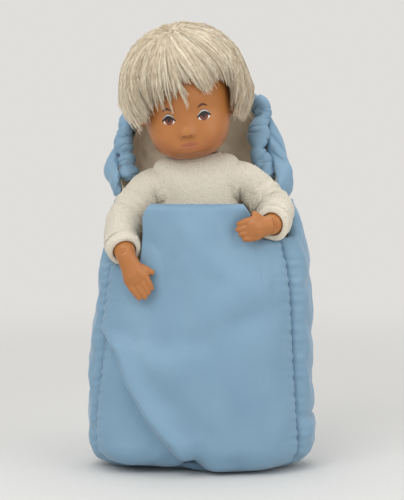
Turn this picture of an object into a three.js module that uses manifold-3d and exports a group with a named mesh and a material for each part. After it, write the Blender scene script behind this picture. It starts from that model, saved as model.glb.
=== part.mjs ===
// Strung vinyl baby doll in a terry sleepsuit, standing in a padded sleeping bag with a
// gathered hood. Millimetres, +Z up, the doll faces -Y. The origin is the middle of the
// bag's flat base.
import * as THREE from 'three';
import { mergeVertices } from 'three/addons/utils/BufferGeometryUtils.js';
import Module from 'manifold-3d';

const wasm = await Module();
wasm.setup();

const DEG = Math.PI / 180;
const SEAT = 0.3; // gap kept between pieces that touch

// Sleeping bag
const BAG_WALL = 7; // quilted wall
const BAG_LINING = 1.2;
const LINING_EASE = 0.9; // the lining hangs this far inside the wall
const BAG_SQUARENESS = 2.6; // power of the rounded oblong section
const BAG_FRONT_TOP = 184; // top edge of the front panel
const BAG_BACK_TOP = 184; // seam between back panel and hood
const BAG_ARM_SLIT_RIGHT = 142; // bottom of the slit for the doll's right arm
const BAG_ARM_SLIT_LEFT = 158;
const BAG_FLAP_RIGHT_EDGE = -38.5; // side edges of the front panel beside the arms
const BAG_FLAP_LEFT_EDGE = 32;
const BAG_CORNER = { x: 26, y: 16, z: 21 }; // how the walls turn under into the base
const FRONT_ROWS = 17;
const CORNER_SHARE = 0.3; // share of the height that goes round the lower corner
const FLAP_ROUND = 6; // how far the front panel's top corners are rounded off
const LINING_BELOW_EDGE = 5; // the front edge is turned over the lining by this much
const GUSSET_RISE = { from: 0.3, to: 0.75 }; // share of its width where a gusset's top rises
// Padding: how far the walls stand out between their seams, and what folds them
const FRONT_SWELL = 3;
const GUSSET_SWELL = 2.4;
const SWELL_REACH = { front: 24, gusset: 12 }; // distance from a seam to full height
const SEAM_SINK = { front: 7, gusset: 5, floor: 9 }; // where the swell starts from nothing
// The fold that runs down across the front: its valley, the padding bunched up beside it
// and the corner sunk below it, each with its height and how far it spreads
const FOLD = { valley: 4.6, at: -1.5, steep: 3, gentle: 9 };
const FOLD_ROLL = { high: 3.2, at: 6.5, wide: 6 };
const FOLD_SUNK = { deep: 2.4, from: -6, fades: -12, gone: -34 };
const FOLD_FADES = { over: 14, above: 6 };
const HAND_DENT = { x: -43, z: 135, wide: 16, high: 24 }; // pressed in by the right hand
const FOLD_LINE = [[-66, 95], [-56, 82], [-48, 59], [-38, 40], [-26, 23], [-14, 10], [-7, 2]];
// Cross seam on the left gusset
const LEFT_LEDGE = { z: 37, deep: 2.6, wide: 4 };
const SEAM_RIGHT = 20; // angle of the front side seams, degrees from straight sideways
const SEAM_LEFT_LOW = 27; // this seam leans inwards as it rises
const SEAM_LEFT_TOP = 41;
const SEAM_BACK = 25;
const SEAM_RADIUS = 60; // of the bag at its seams, about
// height, doll's right side, doll's left side, front, back
const BAG_STATIONS = [
  [0, -75, 75, -41, 38],
  [44, -76, 74, -43, 39],
  [90, -73, 73, -43, 40],
  [137, -67, 71.5, -42, 40],
  [160, -64, 67, -40, 39],
  [184, -62, 63, -38, 38],
];

// Hood and its gathered edge
const HOOD_WALL = 5;
const HOOD_BULGE = 12; // how far the hood swells between seam and edge
const CASING_RADIUS = 5.2; // gathered tube round the hood's edge
const CASING_EASE = 1.7; // between the tube and the wall sewn to it
const CASING_BORE = 1.7;
const HOOD_ELASTIC_RADIUS = 1.3;
const HOOD_END = 14; // angle where the hood starts behind each arm slit
const HOOD_EDGE = [
  [-49, 17, 196],
  [-52.5, 20, 212],
  [-54, 29, 229],
  [-44, 45, 242],
  [-10, 57, 250],
  [26, 52, 252],
  [42, 38, 246],
  [40, 27, 230],
  [38.5, 21, 217],
  [42, 18, 206],
  [47, 17, 196],
];

// Doll: shoulder line is the origin of its own frame
const DOLL_PLACE = new THREE.Vector3(-3, -2, 193.5);
const DOLL_LEAN = -4.3 * DEG; // leans towards its own right
const SHELL_WALL = 3.5;
const SHOULDER_FLAT = 24; // half distance between the shoulder faces
const SHOULDER_SEAT = 14; // radius of the round seat that an arm turns on
const HIP_HEIGHT = -78;
const HIP_FLAT = 10;
const HIP_SEAT = 16.6;
const NECK = new THREE.Vector3(0, 5, 17); // middle of the neck ball
const NECK_BALL = 11.2;
const NECK_BORE = 5;
// height, half width, front, back
const TORSO_STATIONS = [
  [-93, 6.5, -8, 8],
  [-84, 17, -14, 15],
  [-68, 23, -19, 18],
  [-45, 25.5, -21, 17],
  [-20, 25, -18, 16],
  [0, 25, -16, 16],
  [10, 23, -14, 16],
  [14.5, 17.5, -10, 16.3],
  [18, 9.5, -4, 15.8],
];

// Limbs
const ARM_RADII = [10, 10.2, 10, 9.2, 8.2, 7];
const ARM_RIGHT = [
  [-24.3, 0, 0],
  [-31.5, 0, 0],
  [-42, -3, -8],
  [-50, -10, -19],
  [-53.5, -24, -31],
  [-51, -39, -39.5],
];
const ARM_LEFT = [
  [24.3, 0, 0],
  [31.5, 0, 0],
  [42, -3, -8],
  [50, -9, -18],
  [51, -24, -25],
  [46.5, -38, -27],
];
const FINGER_RADIUS = 2.4;
const FINGER_PITCH = 4.1;
const PALM_THICK = 4.6; // half thickness
const WRIST = { halfWide: 6.4, halfThick: 6.2 };
const HEEL_OF_HAND = { halfWide: 7, halfThick: 5.4 };
const THUMB_RADII = [3.6, 3.4, 2.9, 1.7];
// wrist end of the palm, finger tips, thumb tip, and the way across the knuckles
const HAND_RIGHT = [[-46.5, -42.8, -53], [-38, -42.8, -69], [-33, -41.5, -53], [-1, 0, -0.5]];
const HAND_LEFT = [[37.5, -42.5, -27.5], [23.5, -41.5, -30], [35.5, -41, -17], [0, 0, 1]];
// thigh end that turns on the hip: distance out from its flat face, radius
const HIP_DOME = [[0, 13], [8, 13.4], [15, 12.8], [21, 10], [25, 4.5]];
const LEG_RADII = [8, 11, 11, 10.2, 8.8, 8.6];
const LEG_LINE = [
  [24.5, 0, -2],
  [25, -4, -24],
  [25, -5.5, -42],
  [24, -1, -62],
  [23.5, 4, -80],
  [23.5, 5, -90],
];
const FOOT = { x: 23.5, y: -3, z: -93.5, wide: 10, long: 20, high: 8.5 };
const HOOK_RADIUS = 1.8;
const HOOK_KNOB = 3; // radius of the end that the elastic is knotted behind
const KNOB_INSET = 4; // from the seat's face in to the knob
const KNOB_LONG = 3;
const HOOK_FIT = 0.2;
const HOOK_DEPTH = 9; // how deep a hook is moulded into its limb
const HOOK_HOLE = 4; // radius of the hole in the torso that a hook passes through
const NECK_HOOK = { wire: 1.2, bar: 1.3, halfLong: 7.5, eye: 1.8, eyeDrop: 6.4 };
const ELASTIC_RADIUS = 1.4;
// right half of the loop from the leg hooks up to the neck hook, above the hip knobs
const LOOP_HALF = [[4.5, 0, 3.3], [4.3, 0.6, 8.3], [4.4, 5, 56], [3.4, 6, 76], [2.2, 6, 81.6]];
const LOOP_TOP = [0, 6, 83.4];

// Sleepsuit
const SUIT_EASE = 0.5; // between body and cloth
const SUIT_CLOTH = 2.8;
const SUIT_NECK_RISE = 1; // cloth above the torso's top, beside the collar
const SUIT_GATHERS = 6.6; // cloth bunched on each shoulder beside the neck
const CUFF_WIDTH = 7;
const CUFF_STANDS_PROUD = 0.5;
const CUFF_START = 0.84; // where the sleeve ends and the cuff begins, share of the arm
const SLEEVE_GAP = 0.006; // between sleeve and cuff, share of the arm
const COLLAR = { inner: 12.4, outer: 14.8, low: 18, high: 20.5, slope: 1.8 };

// Head: radii about its middle, in a frame that starts at the neck ball
const HEAD_TILT = { roll: -8.5 * DEG, nod: 10 * DEG, turn: -4 * DEG };
const HEAD_MIDDLE = new THREE.Vector3(0, 2, 46);
const HEAD_WIDE = 31;
const HEAD_FRONT = 39;
const HEAD_BACK = 36.5;
const HEAD_UP = 42;
const HEAD_DOWN = 39;
const HEAD_HOLLOW = { x: 27, y: 31, z: 31, middle: 49 };
const EYES = { x: 11.8, z: 39 };
const NOSE_Z = 29.5;
const MOUTH_Z = 20;
const CHIN_Z = 12.5;
const EAR = { x: 30.5, y: 5, z: 37, thick: 4.2, deep: 6.5, high: 9.5 };
const HAIR_THICK = 9.5;
const HAIR_SIDE_EXTRA = 4; // more hair stands out over the ears
// Beside the face it hangs free: how far, below which height, and how far back
const HAIR_HANG = { extra: 3, from: 83 * DEG, over: 23 * DEG, back: 0.25 };
const HAIR_LOCKS = 15;
const HAIR_CROWN = { turn: -110, drop: 16 }; // where the locks spring from, degrees
const LOCK_RELIEF = 1.1;
const LOCK_TIPS = 3.2; // zigzag of the hairline, degrees
const HAIR_TIP_THIN = 0.72; // share of the thickness lost at the tips
const HAIR_OFF_SCALP = 0.6;
// direction round the head from the face (degrees, + to the doll's left), hairline
// measured down from the crown (degrees)
const HAIRLINE = [
  [-180, 128],
  [-120, 126],
  [-90, 120],
  [-62, 116],
  [-46, 99],
  [-30, 90],
  [-12, 86],
  [4, 74],
  [24, 73],
  [40, 84],
  [56, 104],
  [72, 117],
  [90, 121],
  [120, 126],
];

// The face's form: height of each swelling or hollow, its middle (x either side, z),
// its width and its height
const FACE_FORM = [
  [4.4, 0, NOSE_Z, 3.2, 2.6], // nose tip
  [1.3, 0, NOSE_Z + 5, 3, 4], // bridge
  [1.1, 3.4, NOSE_Z - 1, 1.6, 1.8], // nostril wings
  [-2.4, EYES.x - 1, EYES.z + 0.5, 6.5, 4.5], // eye sockets
  [1.0, EYES.x, EYES.z, 4.5, 3.2], // eyeballs
  [3.0, 15, 21, 8, 7.5], // cheeks
  [2.0, 0, MOUTH_Z, 5.5, 3], // lips
  [-1.3, 0, MOUTH_Z - 4.6, 6, 1.6], // fold under the lips
  [5.2, 0, CHIN_Z, 9.5, 4], // chin
  [1.2, 0, 58, 18, 10], // forehead
];

const MATERIALS = {
  skin: ['#b57a48', 0.5, 0],
  hair: ['#d8c9a6', 0.6, 0],
  terry: ['#ebe5d8', 0.95, 0],
  satin: ['#86a9c6', 0.55, 0],
  lining: ['#c8b8a0', 0.85, 0],
  elastic: ['#e6e2d6', 0.8, 0],
  steel: ['#b9bcc0', 0.35, 1],
};

const object = new THREE.Group();
const doll = new THREE.Group();
doll.position.copy(DOLL_PLACE);
doll.rotation.y = DOLL_LEAN;
object.add(doll);

const headFrame = new THREE.Group();
headFrame.position.copy(NECK.clone().applyEuler(doll.rotation).add(DOLL_PLACE));
headFrame.rotation.set(HEAD_TILT.nod, HEAD_TILT.roll, HEAD_TILT.turn, 'YXZ');
object.add(headFrame);

function material(finish) {
  const [color, roughness, metalness] = MATERIALS[finish];
  return new THREE.MeshStandardMaterial({ color, roughness, metalness });
}

function add(parent, name, finish, geometry) {
  const mesh = new THREE.Mesh(geometry, material(finish));
  mesh.name = name;
  parent.add(mesh);
  return mesh;
}

const v3 = (p) => new THREE.Vector3(p[0], p[1], p[2]);
const mix = (a, b, t) => a + (b - a) * t;
const clamp01 = (t) => Math.min(1, Math.max(0, t));
const smooth = (t) => clamp01(t) * clamp01(t) * (3 - 2 * clamp01(t));

// Smooth values between stations whose first number is the place
function interpolate(stations, place) {
  const last = stations.length - 1;
  let i = 0;
  while (i < last - 1 && place > stations[i + 1][0]) i += 1;
  const a = stations[Math.max(0, i - 1)];
  const b = stations[i];
  const c = stations[i + 1];
  const d = stations[Math.min(last, i + 2)];
  const span = c[0] - b[0];
  const t = clamp01((place - b[0]) / span);
  return b.slice(1).map((value, k) => {
    const m0 = ((c[k + 1] - a[k + 1]) / (c[0] - a[0] || 1)) * span;
    const m1 = ((d[k + 1] - b[k + 1]) / (d[0] - b[0] || 1)) * span;
    const t2 = t * t;
    const t3 = t2 * t;
    return (2 * t3 - 3 * t2 + 1) * value + (t3 - 2 * t2 + t) * m0
      + (3 * t2 - 2 * t3) * c[k + 1] + (t3 - t2) * m1;
  });
}

// A closed body from its faces, turned so that they point outwards
function body(points, triangles) {
  let volume = 0;
  for (const [a, b, c] of triangles) {
    volume += points[a].dot(new THREE.Vector3().crossVectors(points[b], points[c]));
  }
  const index = triangles.flatMap(([a, b, c]) => (volume > 0 ? [a, b, c] : [a, c, b]));
  const geometry = new THREE.BufferGeometry();
  const position = new Float32Array(points.flatMap((p) => [p.x, p.y, p.z]));
  geometry.setAttribute('position', new THREE.BufferAttribute(position, 3));
  geometry.setIndex(index);
  geometry.computeVertexNormals();
  return geometry;
}

// Skin over rings of equal count: capped at both ends, or joined last to first
function skin(rings, joined = false) {
  const n = rings[0].length;
  const points = rings.flat();
  const triangles = [];
  const turns = joined ? rings.length : rings.length - 1;
  for (let i = 0; i < turns; i += 1) {
    const next = (i + 1) % rings.length;
    for (let j = 0; j < n; j += 1) {
      const k = (j + 1) % n;
      triangles.push([i * n + j, i * n + k, next * n + k], [i * n + j, next * n + k, next * n + j]);
    }
  }
  if (!joined) {
    for (const [row, flip] of [[0, true], [rings.length - 1, false]]) {
      const middle = new THREE.Vector3();
      rings[row].forEach((p) => middle.addScaledVector(p, 1 / n));
      points.push(middle);
      const m = points.length - 1;
      for (let j = 0; j < n; j += 1) {
        const k = (j + 1) % n;
        triangles.push(flip ? [m, row * n + k, row * n + j] : [m, row * n + j, row * n + k]);
      }
    }
  }
  return body(points, triangles);
}

// A panel of cloth or padding: two faces over the same grid, closed round the edge
function panel(across, up, outer, inner, wrap = false) {
  const columns = wrap ? across : across + 1;
  const points = [];
  for (const face of [outer, inner]) {
    for (let j = 0; j <= up; j += 1) {
      for (let i = 0; i < columns; i += 1) points.push(face(i / across, j / up));
    }
  }
  const half = columns * (up + 1);
  const at = (i, j, side) => side * half + j * columns + (i % columns);
  const triangles = [];
  const quad = (a, b, c, d) => triangles.push([a, b, c], [a, c, d]);
  for (let j = 0; j < up; j += 1) {
    for (let i = 0; i < across; i += 1) {
      quad(at(i, j, 0), at(i + 1, j, 0), at(i + 1, j + 1, 0), at(i, j + 1, 0));
      quad(at(i, j, 1), at(i, j + 1, 1), at(i + 1, j + 1, 1), at(i + 1, j, 1));
    }
    if (!wrap) {
      quad(at(0, j, 0), at(0, j + 1, 0), at(0, j + 1, 1), at(0, j, 1));
      quad(at(across, j, 0), at(across, j, 1), at(across, j + 1, 1), at(across, j + 1, 0));
    }
  }
  for (let i = 0; i < across; i += 1) {
    quad(at(i, 0, 0), at(i, 0, 1), at(i + 1, 0, 1), at(i + 1, 0, 0));
    quad(at(i, up, 0), at(i + 1, up, 0), at(i + 1, up, 1), at(i, up, 1));
  }
  return body(points, triangles);
}

// Rings of a limb along a line of points, radius by place along it
function limbRings(line, radii, { steps, sides, from = 0, to = 1, extra = 0 }) {
  const curve = new THREE.CatmullRomCurve3(line.map(v3));
  const count = Math.max(2, Math.round(steps * (to - from)));
  const radiusAt = radii.map((radius, i) => [i / (radii.length - 1), radius]);
  const start = curve.getTangentAt(0);
  const side = new THREE.Vector3().crossVectors(start, new THREE.Vector3(0, 0, 1)).normalize();
  const rings = [];
  const before = start.clone();
  for (let i = 0; i <= count; i += 1) {
    const t = mix(from, to, i / count);
    const tangent = curve.getTangentAt(t);
    side.applyQuaternion(new THREE.Quaternion().setFromUnitVectors(before, tangent));
    before.copy(tangent);
    const up = new THREE.Vector3().crossVectors(side, tangent);
    const centre = curve.getPointAt(t);
    const [radius] = interpolate(radiusAt, t);
    rings.push(Array.from({ length: sides }, (_, k) => {
      const angle = (2 * Math.PI * k) / sides;
      return centre.clone().addScaledVector(side, (radius + extra) * Math.cos(angle))
        .addScaledVector(up, (radius + extra) * Math.sin(angle));
    }));
  }
  return rings;
}

// A hollow length of sleeve between two radii
function tubeOfCloth(line, radii, options, inner, outer) {
  const outside = limbRings(line, radii, { ...options, extra: outer });
  const inside = limbRings(line, radii, { ...options, extra: inner }).reverse();
  return skin([...outside, ...inside], true);
}

function solid(geometry) {
  const bare = geometry.clone();
  bare.deleteAttribute('normal');
  bare.deleteAttribute('uv');
  const merged = mergeVertices(bare, 1e-4);
  return new wasm.Manifold(new wasm.Mesh({
    numProp: 3,
    vertProperties: new Float32Array(merged.attributes.position.array),
    triVerts: new Uint32Array(merged.index.array),
  }));
}

function shape(manifold) {
  const mesh = manifold.getMesh();
  const geometry = new THREE.BufferGeometry();
  geometry.setAttribute('position', new THREE.BufferAttribute(mesh.vertProperties, 3));
  geometry.setIndex(new THREE.BufferAttribute(mesh.triVerts, 1));
  geometry.computeVertexNormals();
  return geometry;
}

const ellipsoid = (x, y, z, place, columns = 14, rows = 9) => new THREE
  .SphereGeometry(1, columns, rows).rotateX(Math.PI / 2).scale(x, y, z)
  .translate(place[0], place[1], place[2]);

// A round bar along X from one place to another
const barAlongX = (radius, x0, x1, y, z, sides = 16) => new THREE
  .CylinderGeometry(radius, radius, Math.abs(x1 - x0), sides)
  .rotateZ(Math.PI / 2).translate((x0 + x1) / 2, y, z);

const barAlongZ = (radius, z0, z1, x, y, sides = 16) => new THREE
  .CylinderGeometry(radius, radius, Math.abs(z1 - z0), sides)
  .rotateX(Math.PI / 2).translate(x, y, (z0 + z1) / 2);

// Sleeping bag: a point of its wall, some depth in from the outer face
function oblong(angle, right, left, front, back) {
  const c = Math.cos(angle);
  const s = Math.sin(angle);
  const power = 2 / BAG_SQUARENESS;
  return [
    (c > 0 ? left : -right) * Math.sign(c) * Math.abs(c) ** power,
    (s > 0 ? back : -front) * Math.sign(s) * Math.abs(s) ** power,
  ];
}

function bagWall(angle, z, depth) {
  const [right, left, front, back] = interpolate(BAG_STATIONS, z);
  const [x, y] = oblong(angle, right + depth, left - depth, front + depth, back - depth);
  return new THREE.Vector3(x, y, z);
}

function bagCorner(angle, turn, depth) {
  const [right, left, front, back] = interpolate(BAG_STATIONS, BAG_CORNER.z);
  const reachX = BAG_CORNER.x - (BAG_CORNER.x - depth) * Math.sin(turn);
  const reachY = BAG_CORNER.y - (BAG_CORNER.y - depth) * Math.sin(turn);
  const [x, y] = oblong(angle, right + reachX, left - reachX, front + reachY, back - reachY);
  return new THREE.Vector3(x, y, BAG_CORNER.z - (BAG_CORNER.z - depth) * Math.cos(turn));
}

function bagPoint(angle, v, top, depth) {
  if (v <= CORNER_SHARE) return bagCorner(angle, (v / CORNER_SHARE) * (Math.PI / 2), depth);
  const t = (v - CORNER_SHARE) / (1 - CORNER_SHARE);
  return bagWall(angle, mix(BAG_CORNER.z, top, t), depth);
}

const angleAtX = (x, side, z) => {
  const reach = interpolate(BAG_STATIONS, z)[x < 0 ? 0 : 1];
  return Math.acos(Math.min(1, Math.abs(x / reach)) ** (BAG_SQUARENESS / 2)) * side;
};

// Signed distance to the fold: + above it, towards the doll's left
function besideFold(x, z) {
  let best = Infinity;
  for (let i = 1; i < FOLD_LINE.length; i += 1) {
    const [x0, z0] = FOLD_LINE[i - 1];
    const [dx, dz] = [FOLD_LINE[i][0] - x0, FOLD_LINE[i][1] - z0];
    const share = clamp01(((x - x0) * dx + (z - z0) * dz) / (dx * dx + dz * dz));
    const away = Math.hypot(x - x0 - share * dx, z - z0 - share * dz);
    const side = Math.sign((z - z0) * dx - (x - x0) * dz);
    if (away < Math.abs(best)) best = side * away;
  }
  return best;
}

const bell = (x, middle, width) => Math.exp(-(((x - middle) / width) ** 2));

// How far the padded front stands out from its plain wall
function frontSwell(x, z, fromSeam) {
  const across = besideFold(x, z);
  const width = across < FOLD.at ? FOLD.gentle : FOLD.steep;
  const sunk = smooth(across / FOLD_SUNK.from)
    * smooth((across - FOLD_SUNK.gone) / (FOLD_SUNK.fades - FOLD_SUNK.gone));
  const fold = FOLD_ROLL.high * bell(across, FOLD_ROLL.at, FOLD_ROLL.wide)
    - FOLD.valley * Math.exp(-Math.abs(across - FOLD.at) / width) - FOLD_SUNK.deep * sunk;
  const live = smooth((FOLD_LINE[0][1] + FOLD_FADES.above - z) / FOLD_FADES.over);
  const full = FRONT_SWELL
    * (1 - bell(x, HAND_DENT.x, HAND_DENT.wide) * bell(z, HAND_DENT.z, HAND_DENT.high));
  return (full * smooth(fromSeam / SWELL_REACH.front) + live * fold)
    * smooth(fromSeam / SEAM_SINK.front) * smooth(z / SEAM_SINK.floor);
}

function gussetSwell(z, fromSeam, ledge) {
  const cross = ledge ? ledge.deep * bell(z, ledge.z, ledge.wide) : 0;
  return (GUSSET_SWELL * smooth(fromSeam / SWELL_REACH.gusset) - cross)
    * smooth(fromSeam / SEAM_SINK.gusset) * smooth(z / SEAM_SINK.floor);
}

function bagPanels() {
  const seamGap = SEAT / 2 / SEAM_RADIUS; // half a seat, as an angle
  const front0 = Math.PI + SEAM_RIGHT * DEG + seamGap;
  const seamLeft = (v) => -mix(SEAM_LEFT_LOW, SEAM_LEFT_TOP, v) * DEG;
  const front1 = 2 * Math.PI + seamLeft(0.5) - seamGap;
  const flap0 = Math.PI + angleAtX(BAG_FLAP_RIGHT_EDGE, 1, BAG_FRONT_TOP);
  const flap1 = 2 * Math.PI - angleAtX(BAG_FLAP_LEFT_EDGE, 1, BAG_FRONT_TOP);
  const edge = 1.5 * DEG;
  const columns = [];
  const run = (from, to, count) => {
    for (let i = 0; i < count; i += 1) columns.push(mix(from, to, i / count));
  };
  run(front0, flap0 - edge, 6);
  run(flap0 - edge, flap0 + 3 * edge, 2);
  run(flap0 + 3 * edge, flap1 - 3 * edge, 11);
  run(flap1 - 3 * edge, flap1 + edge, 2);
  run(flap1 + edge, front1, 3);
  columns.push(front1);
  const topAt = (angle) => {
    if (angle < flap0 - edge / 2) return BAG_ARM_SLIT_RIGHT;
    if (angle > flap1 + edge / 2) return BAG_ARM_SLIT_LEFT;
    const near = Math.min(angle - flap0, flap1 - angle) / (4 * edge);
    return BAG_FRONT_TOP - FLAP_ROUND * (1 - smooth(near + 0.25));
  };
  const across = columns.length - 1;
  // Columns left of the flap fan out with the leaning seam
  const fanned = (angle, v) => {
    const share = smooth((angle - flap1 - edge) / (front1 - flap1 - edge));
    return angle + share * (2 * Math.PI + seamLeft(v) - seamGap - front1);
  };
  const frontFace = (depth) => (u, v) => {
    const column = columns[Math.round(u * across)];
    const angle = fanned(column, v);
    const plain = bagPoint(angle, v, topAt(column), 0);
    const fromSeam = Math.min(angle - front0, 2 * Math.PI + seamLeft(v) - angle)
      * SEAM_RADIUS;
    const swell = depth ? 0 : frontSwell(plain.x, plain.z, fromSeam);
    return bagPoint(angle, v, topAt(column), depth - swell);
  };
  const rows = 10;
  add(object, 'bag_front_panel', 'satin',
    panel(across, FRONT_ROWS, frontFace(0), frontFace(BAG_WALL)));

  const back0 = SEAM_BACK * DEG;
  const back1 = Math.PI - SEAM_BACK * DEG;
  const backFace = (depth) => (u, v) => bagPoint(mix(back0, back1, u), v, BAG_BACK_TOP, depth);
  add(object, 'bag_back_panel', 'satin', panel(12, rows, backFace(0), backFace(BAG_WALL)));

  const gusset = (name, from, to, slit, ledge) => {
    const face = (depth) => (u, v) => {
      const behind = smooth((u - GUSSET_RISE.from) / (GUSSET_RISE.to - GUSSET_RISE.from));
      const top = mix(slit, BAG_BACK_TOP, behind);
      const angle = mix(from(v), to, u);
      const { z } = bagPoint(angle, v, top, 0);
      const fromSeam = Math.min(u, 1 - u) * Math.abs(to - from(v)) * SEAM_RADIUS;
      return bagPoint(angle, v, top, depth ? depth : -gussetSwell(z, fromSeam, ledge));
    };
    add(object, name, 'satin', panel(8, rows, face(0), face(BAG_WALL)));
  };
  gusset('bag_left_gusset', (v) => seamLeft(v) + seamGap, back0 - 2 * seamGap,
    BAG_ARM_SLIT_LEFT, LEFT_LEDGE);
  gusset('bag_right_gusset', () => front0 - 2 * seamGap, back1 + 2 * seamGap,
    BAG_ARM_SLIT_RIGHT, null);

  const rim = (z) => Array.from({ length: 36 }, (_, k) => {
    const edgePoint = bagCorner((2 * Math.PI * k) / 36, 0, 0);
    const inwards = Math.hypot(edgePoint.x, edgePoint.y);
    return new THREE.Vector3(edgePoint.x, edgePoint.y, 0).multiplyScalar(1 - SEAT / inwards)
      .setZ(z);
  });
  add(object, 'bag_base', 'satin', skin([rim(0), rim(BAG_WALL)]));

  const liningTop = (angle) => {
    const turn = (angle + 2 * Math.PI) % (2 * Math.PI);
    if (turn > flap0 && turn < flap1) return BAG_FRONT_TOP - LINING_BELOW_EDGE;
    const onRight = turn > Math.PI / 2 && turn < 1.5 * Math.PI;
    const slit = onRight ? BAG_ARM_SLIT_RIGHT : BAG_ARM_SLIT_LEFT;
    const behind = smooth((Math.sin(turn) + 0.02) / 0.34);
    return mix(slit, BAG_BACK_TOP, behind) - 1;
  };
  const liningFace = (depth) => (u, v) => {
    const angle = u * 2 * Math.PI;
    const first = 0.12; // the round middle of the floor
    if (v >= first) return bagPoint(angle, (v - first) / (1 - first), liningTop(angle), depth);
    const rimPoint = bagCorner(angle, 0, depth);
    const share = v / first;
    return new THREE.Vector3(rimPoint.x * share, rimPoint.y * share, rimPoint.z);
  };
  const outer = BAG_WALL + LINING_EASE;
  add(object, 'bag_lining', 'lining', liningSack(liningFace(outer), liningFace(outer + BAG_LINING)));
}

// The lining is a sack: the panel grid wrapped round, its floor closed at one point a face
function liningSack(outer, inner) {
  const around = 28;
  const up = 8;
  const points = [];
  for (const face of [outer, inner]) {
    points.push(face(0, 0));
    for (let j = 1; j <= up; j += 1) {
      for (let i = 0; i < around; i += 1) points.push(face(i / around, j / up));
    }
  }
  return capShell(points, around, up);
}

// Two pole-to-rim faces, given one after the other, joined at the rim
function capShell(points, around, up) {
  const half = 1 + around * up;
  const at = (i, j, side) => side * half + (j === 0 ? 0 : 1 + (j - 1) * around + (i % around));
  const triangles = [];
  for (const side of [0, 1]) {
    for (let i = 0; i < around; i += 1) {
      for (let j = 0; j < up; j += 1) {
        const [a, b] = [at(i, j, side), at(i + 1, j, side)];
        const [c, d] = [at(i + 1, j + 1, side), at(i, j + 1, side)];
        const faces = j === 0 ? [[a, c, d]] : [[a, b, c], [a, c, d]];
        faces.forEach((f) => triangles.push(side ? [f[0], f[2], f[1]] : f));
      }
    }
  }
  for (let i = 0; i < around; i += 1) {
    const [a, b, c, d] = [at(i, up, 0), at(i + 1, up, 0), at(i + 1, up, 1), at(i, up, 1)];
    triangles.push([a, b, c], [a, c, d]);
  }
  return body(points, triangles);
}

// Hood: swells from the back panel's top seam up to its gathered edge
const hoodEdge = new THREE.CatmullRomCurve3(HOOD_EDGE.map(v3));

function hoodFace(depth) {
  return (u, v) => {
    const angle = mix(Math.PI - HOOD_END * DEG, HOOD_END * DEG, u);
    const seam = bagWall(angle, BAG_BACK_TOP, depth);
    seam.z += SEAT;
    const along = hoodEdge.getTangentAt(u);
    const edge = hoodEdge.getPointAt(u);
    const away = bagWall(angle, BAG_BACK_TOP, 0).sub(edge);
    away.addScaledVector(along, -away.dot(along)).normalize();
    const outwards = new THREE.Vector3().crossVectors(along, away).normalize();
    edge.addScaledVector(away, CASING_RADIUS + CASING_EASE)
      .addScaledVector(outwards, HOOD_WALL / 2 - depth);
    return seam.lerp(edge, v).addScaledVector(outwards, HOOD_BULGE * Math.sin(Math.PI * v));
  };
}

function hood() {
  const radii = [1, 1];
  const steps = { steps: 26, sides: 7 };
  const piece = (depth, thick) => panel(18, 5, hoodFace(depth), hoodFace(depth + thick));
  add(object, 'hood', 'satin', piece(0, HOOD_WALL));
  add(object, 'hood_lining', 'lining', piece(HOOD_WALL + 2 * SEAT, BAG_LINING));
  add(object, 'hood_casing', 'satin',
    tubeOfCloth(HOOD_EDGE, radii, steps, CASING_BORE - 1, CASING_RADIUS - 1));
  add(object, 'hood_elastic', 'elastic',
    skin(limbRings(HOOD_EDGE, radii, { steps: 26, sides: 7, extra: HOOD_ELASTIC_RADIUS - 1 })));
}

// Torso: a hollow moulded shell with a neck ball and flat round seats for the limbs
function oval(z, halfWidth, front, back, count = 18) {
  return Array.from({ length: count }, (_, k) => {
    const angle = (2 * Math.PI * k) / count;
    const s = Math.sin(angle);
    const power = 2 / 2.3;
    const c = Math.cos(angle);
    return new THREE.Vector3(
      halfWidth * Math.sign(c) * Math.abs(c) ** power,
      (s > 0 ? back : -front) * Math.sign(s) * Math.abs(s) ** power,
      z,
    );
  });
}

const TORSO_LOW = TORSO_STATIONS[0][0];
const TORSO_HIGH = TORSO_STATIONS[TORSO_STATIONS.length - 1][0];
const TORSO_ROWS = 9;

// The torso's form, grown all round; cloth may also bunch beside the neck
function torsoLoft(grow, top, gathers = 0) {
  const rings = [];
  for (let i = 0; i <= TORSO_ROWS; i += 1) {
    const level = mix(TORSO_LOW, TORSO_HIGH, i / TORSO_ROWS);
    const [halfWidth, front, back] = interpolate(TORSO_STATIONS, level);
    const bunch = gathers * smooth((level - 2) / 14);
    const z = level + (i === 0 ? -grow : 0) + (i === TORSO_ROWS ? top : 0);
    rings.push(oval(z, halfWidth + grow + bunch, front - grow, back + grow + bunch * 0.3));
  }
  return solid(skin(rings));
}

// The torso's hollow narrows between the hip faces
function torsoHollow() {
  const low = TORSO_LOW + SHELL_WALL + 3;
  const high = NECK.z - NECK_BALL + 3;
  const rows = 7;
  const rings = [];
  for (let i = 0; i <= rows; i += 1) {
    const z = mix(low, high, i / rows);
    const [halfWidth, front, back] = interpolate(TORSO_STATIONS, z);
    const aboveHip = smooth((z - HIP_HEIGHT - HIP_SEAT) / 12);
    const widest = mix(HIP_FLAT, halfWidth, aboveHip) - SHELL_WALL;
    rings.push(oval(z, Math.min(halfWidth - SHELL_WALL, widest), front + SHELL_WALL,
      back - SHELL_WALL));
  }
  return solid(skin(rings));
}

// Takes away the room that arms and legs turn in beyond their seats
function seatCuts(target, round) {
  let result = target;
  for (const side of [-1, 1]) {
    const atArm = side * SHOULDER_FLAT;
    const atLeg = side * HIP_FLAT;
    result = result
      .subtract(solid(barAlongX(SHOULDER_SEAT + round, atArm, atArm + side * 30, 0, 0, 20)))
      .subtract(solid(barAlongX(HIP_SEAT + round, atLeg, atLeg + side * 30, 0, HIP_HEIGHT, 20)));
  }
  return result;
}

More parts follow.
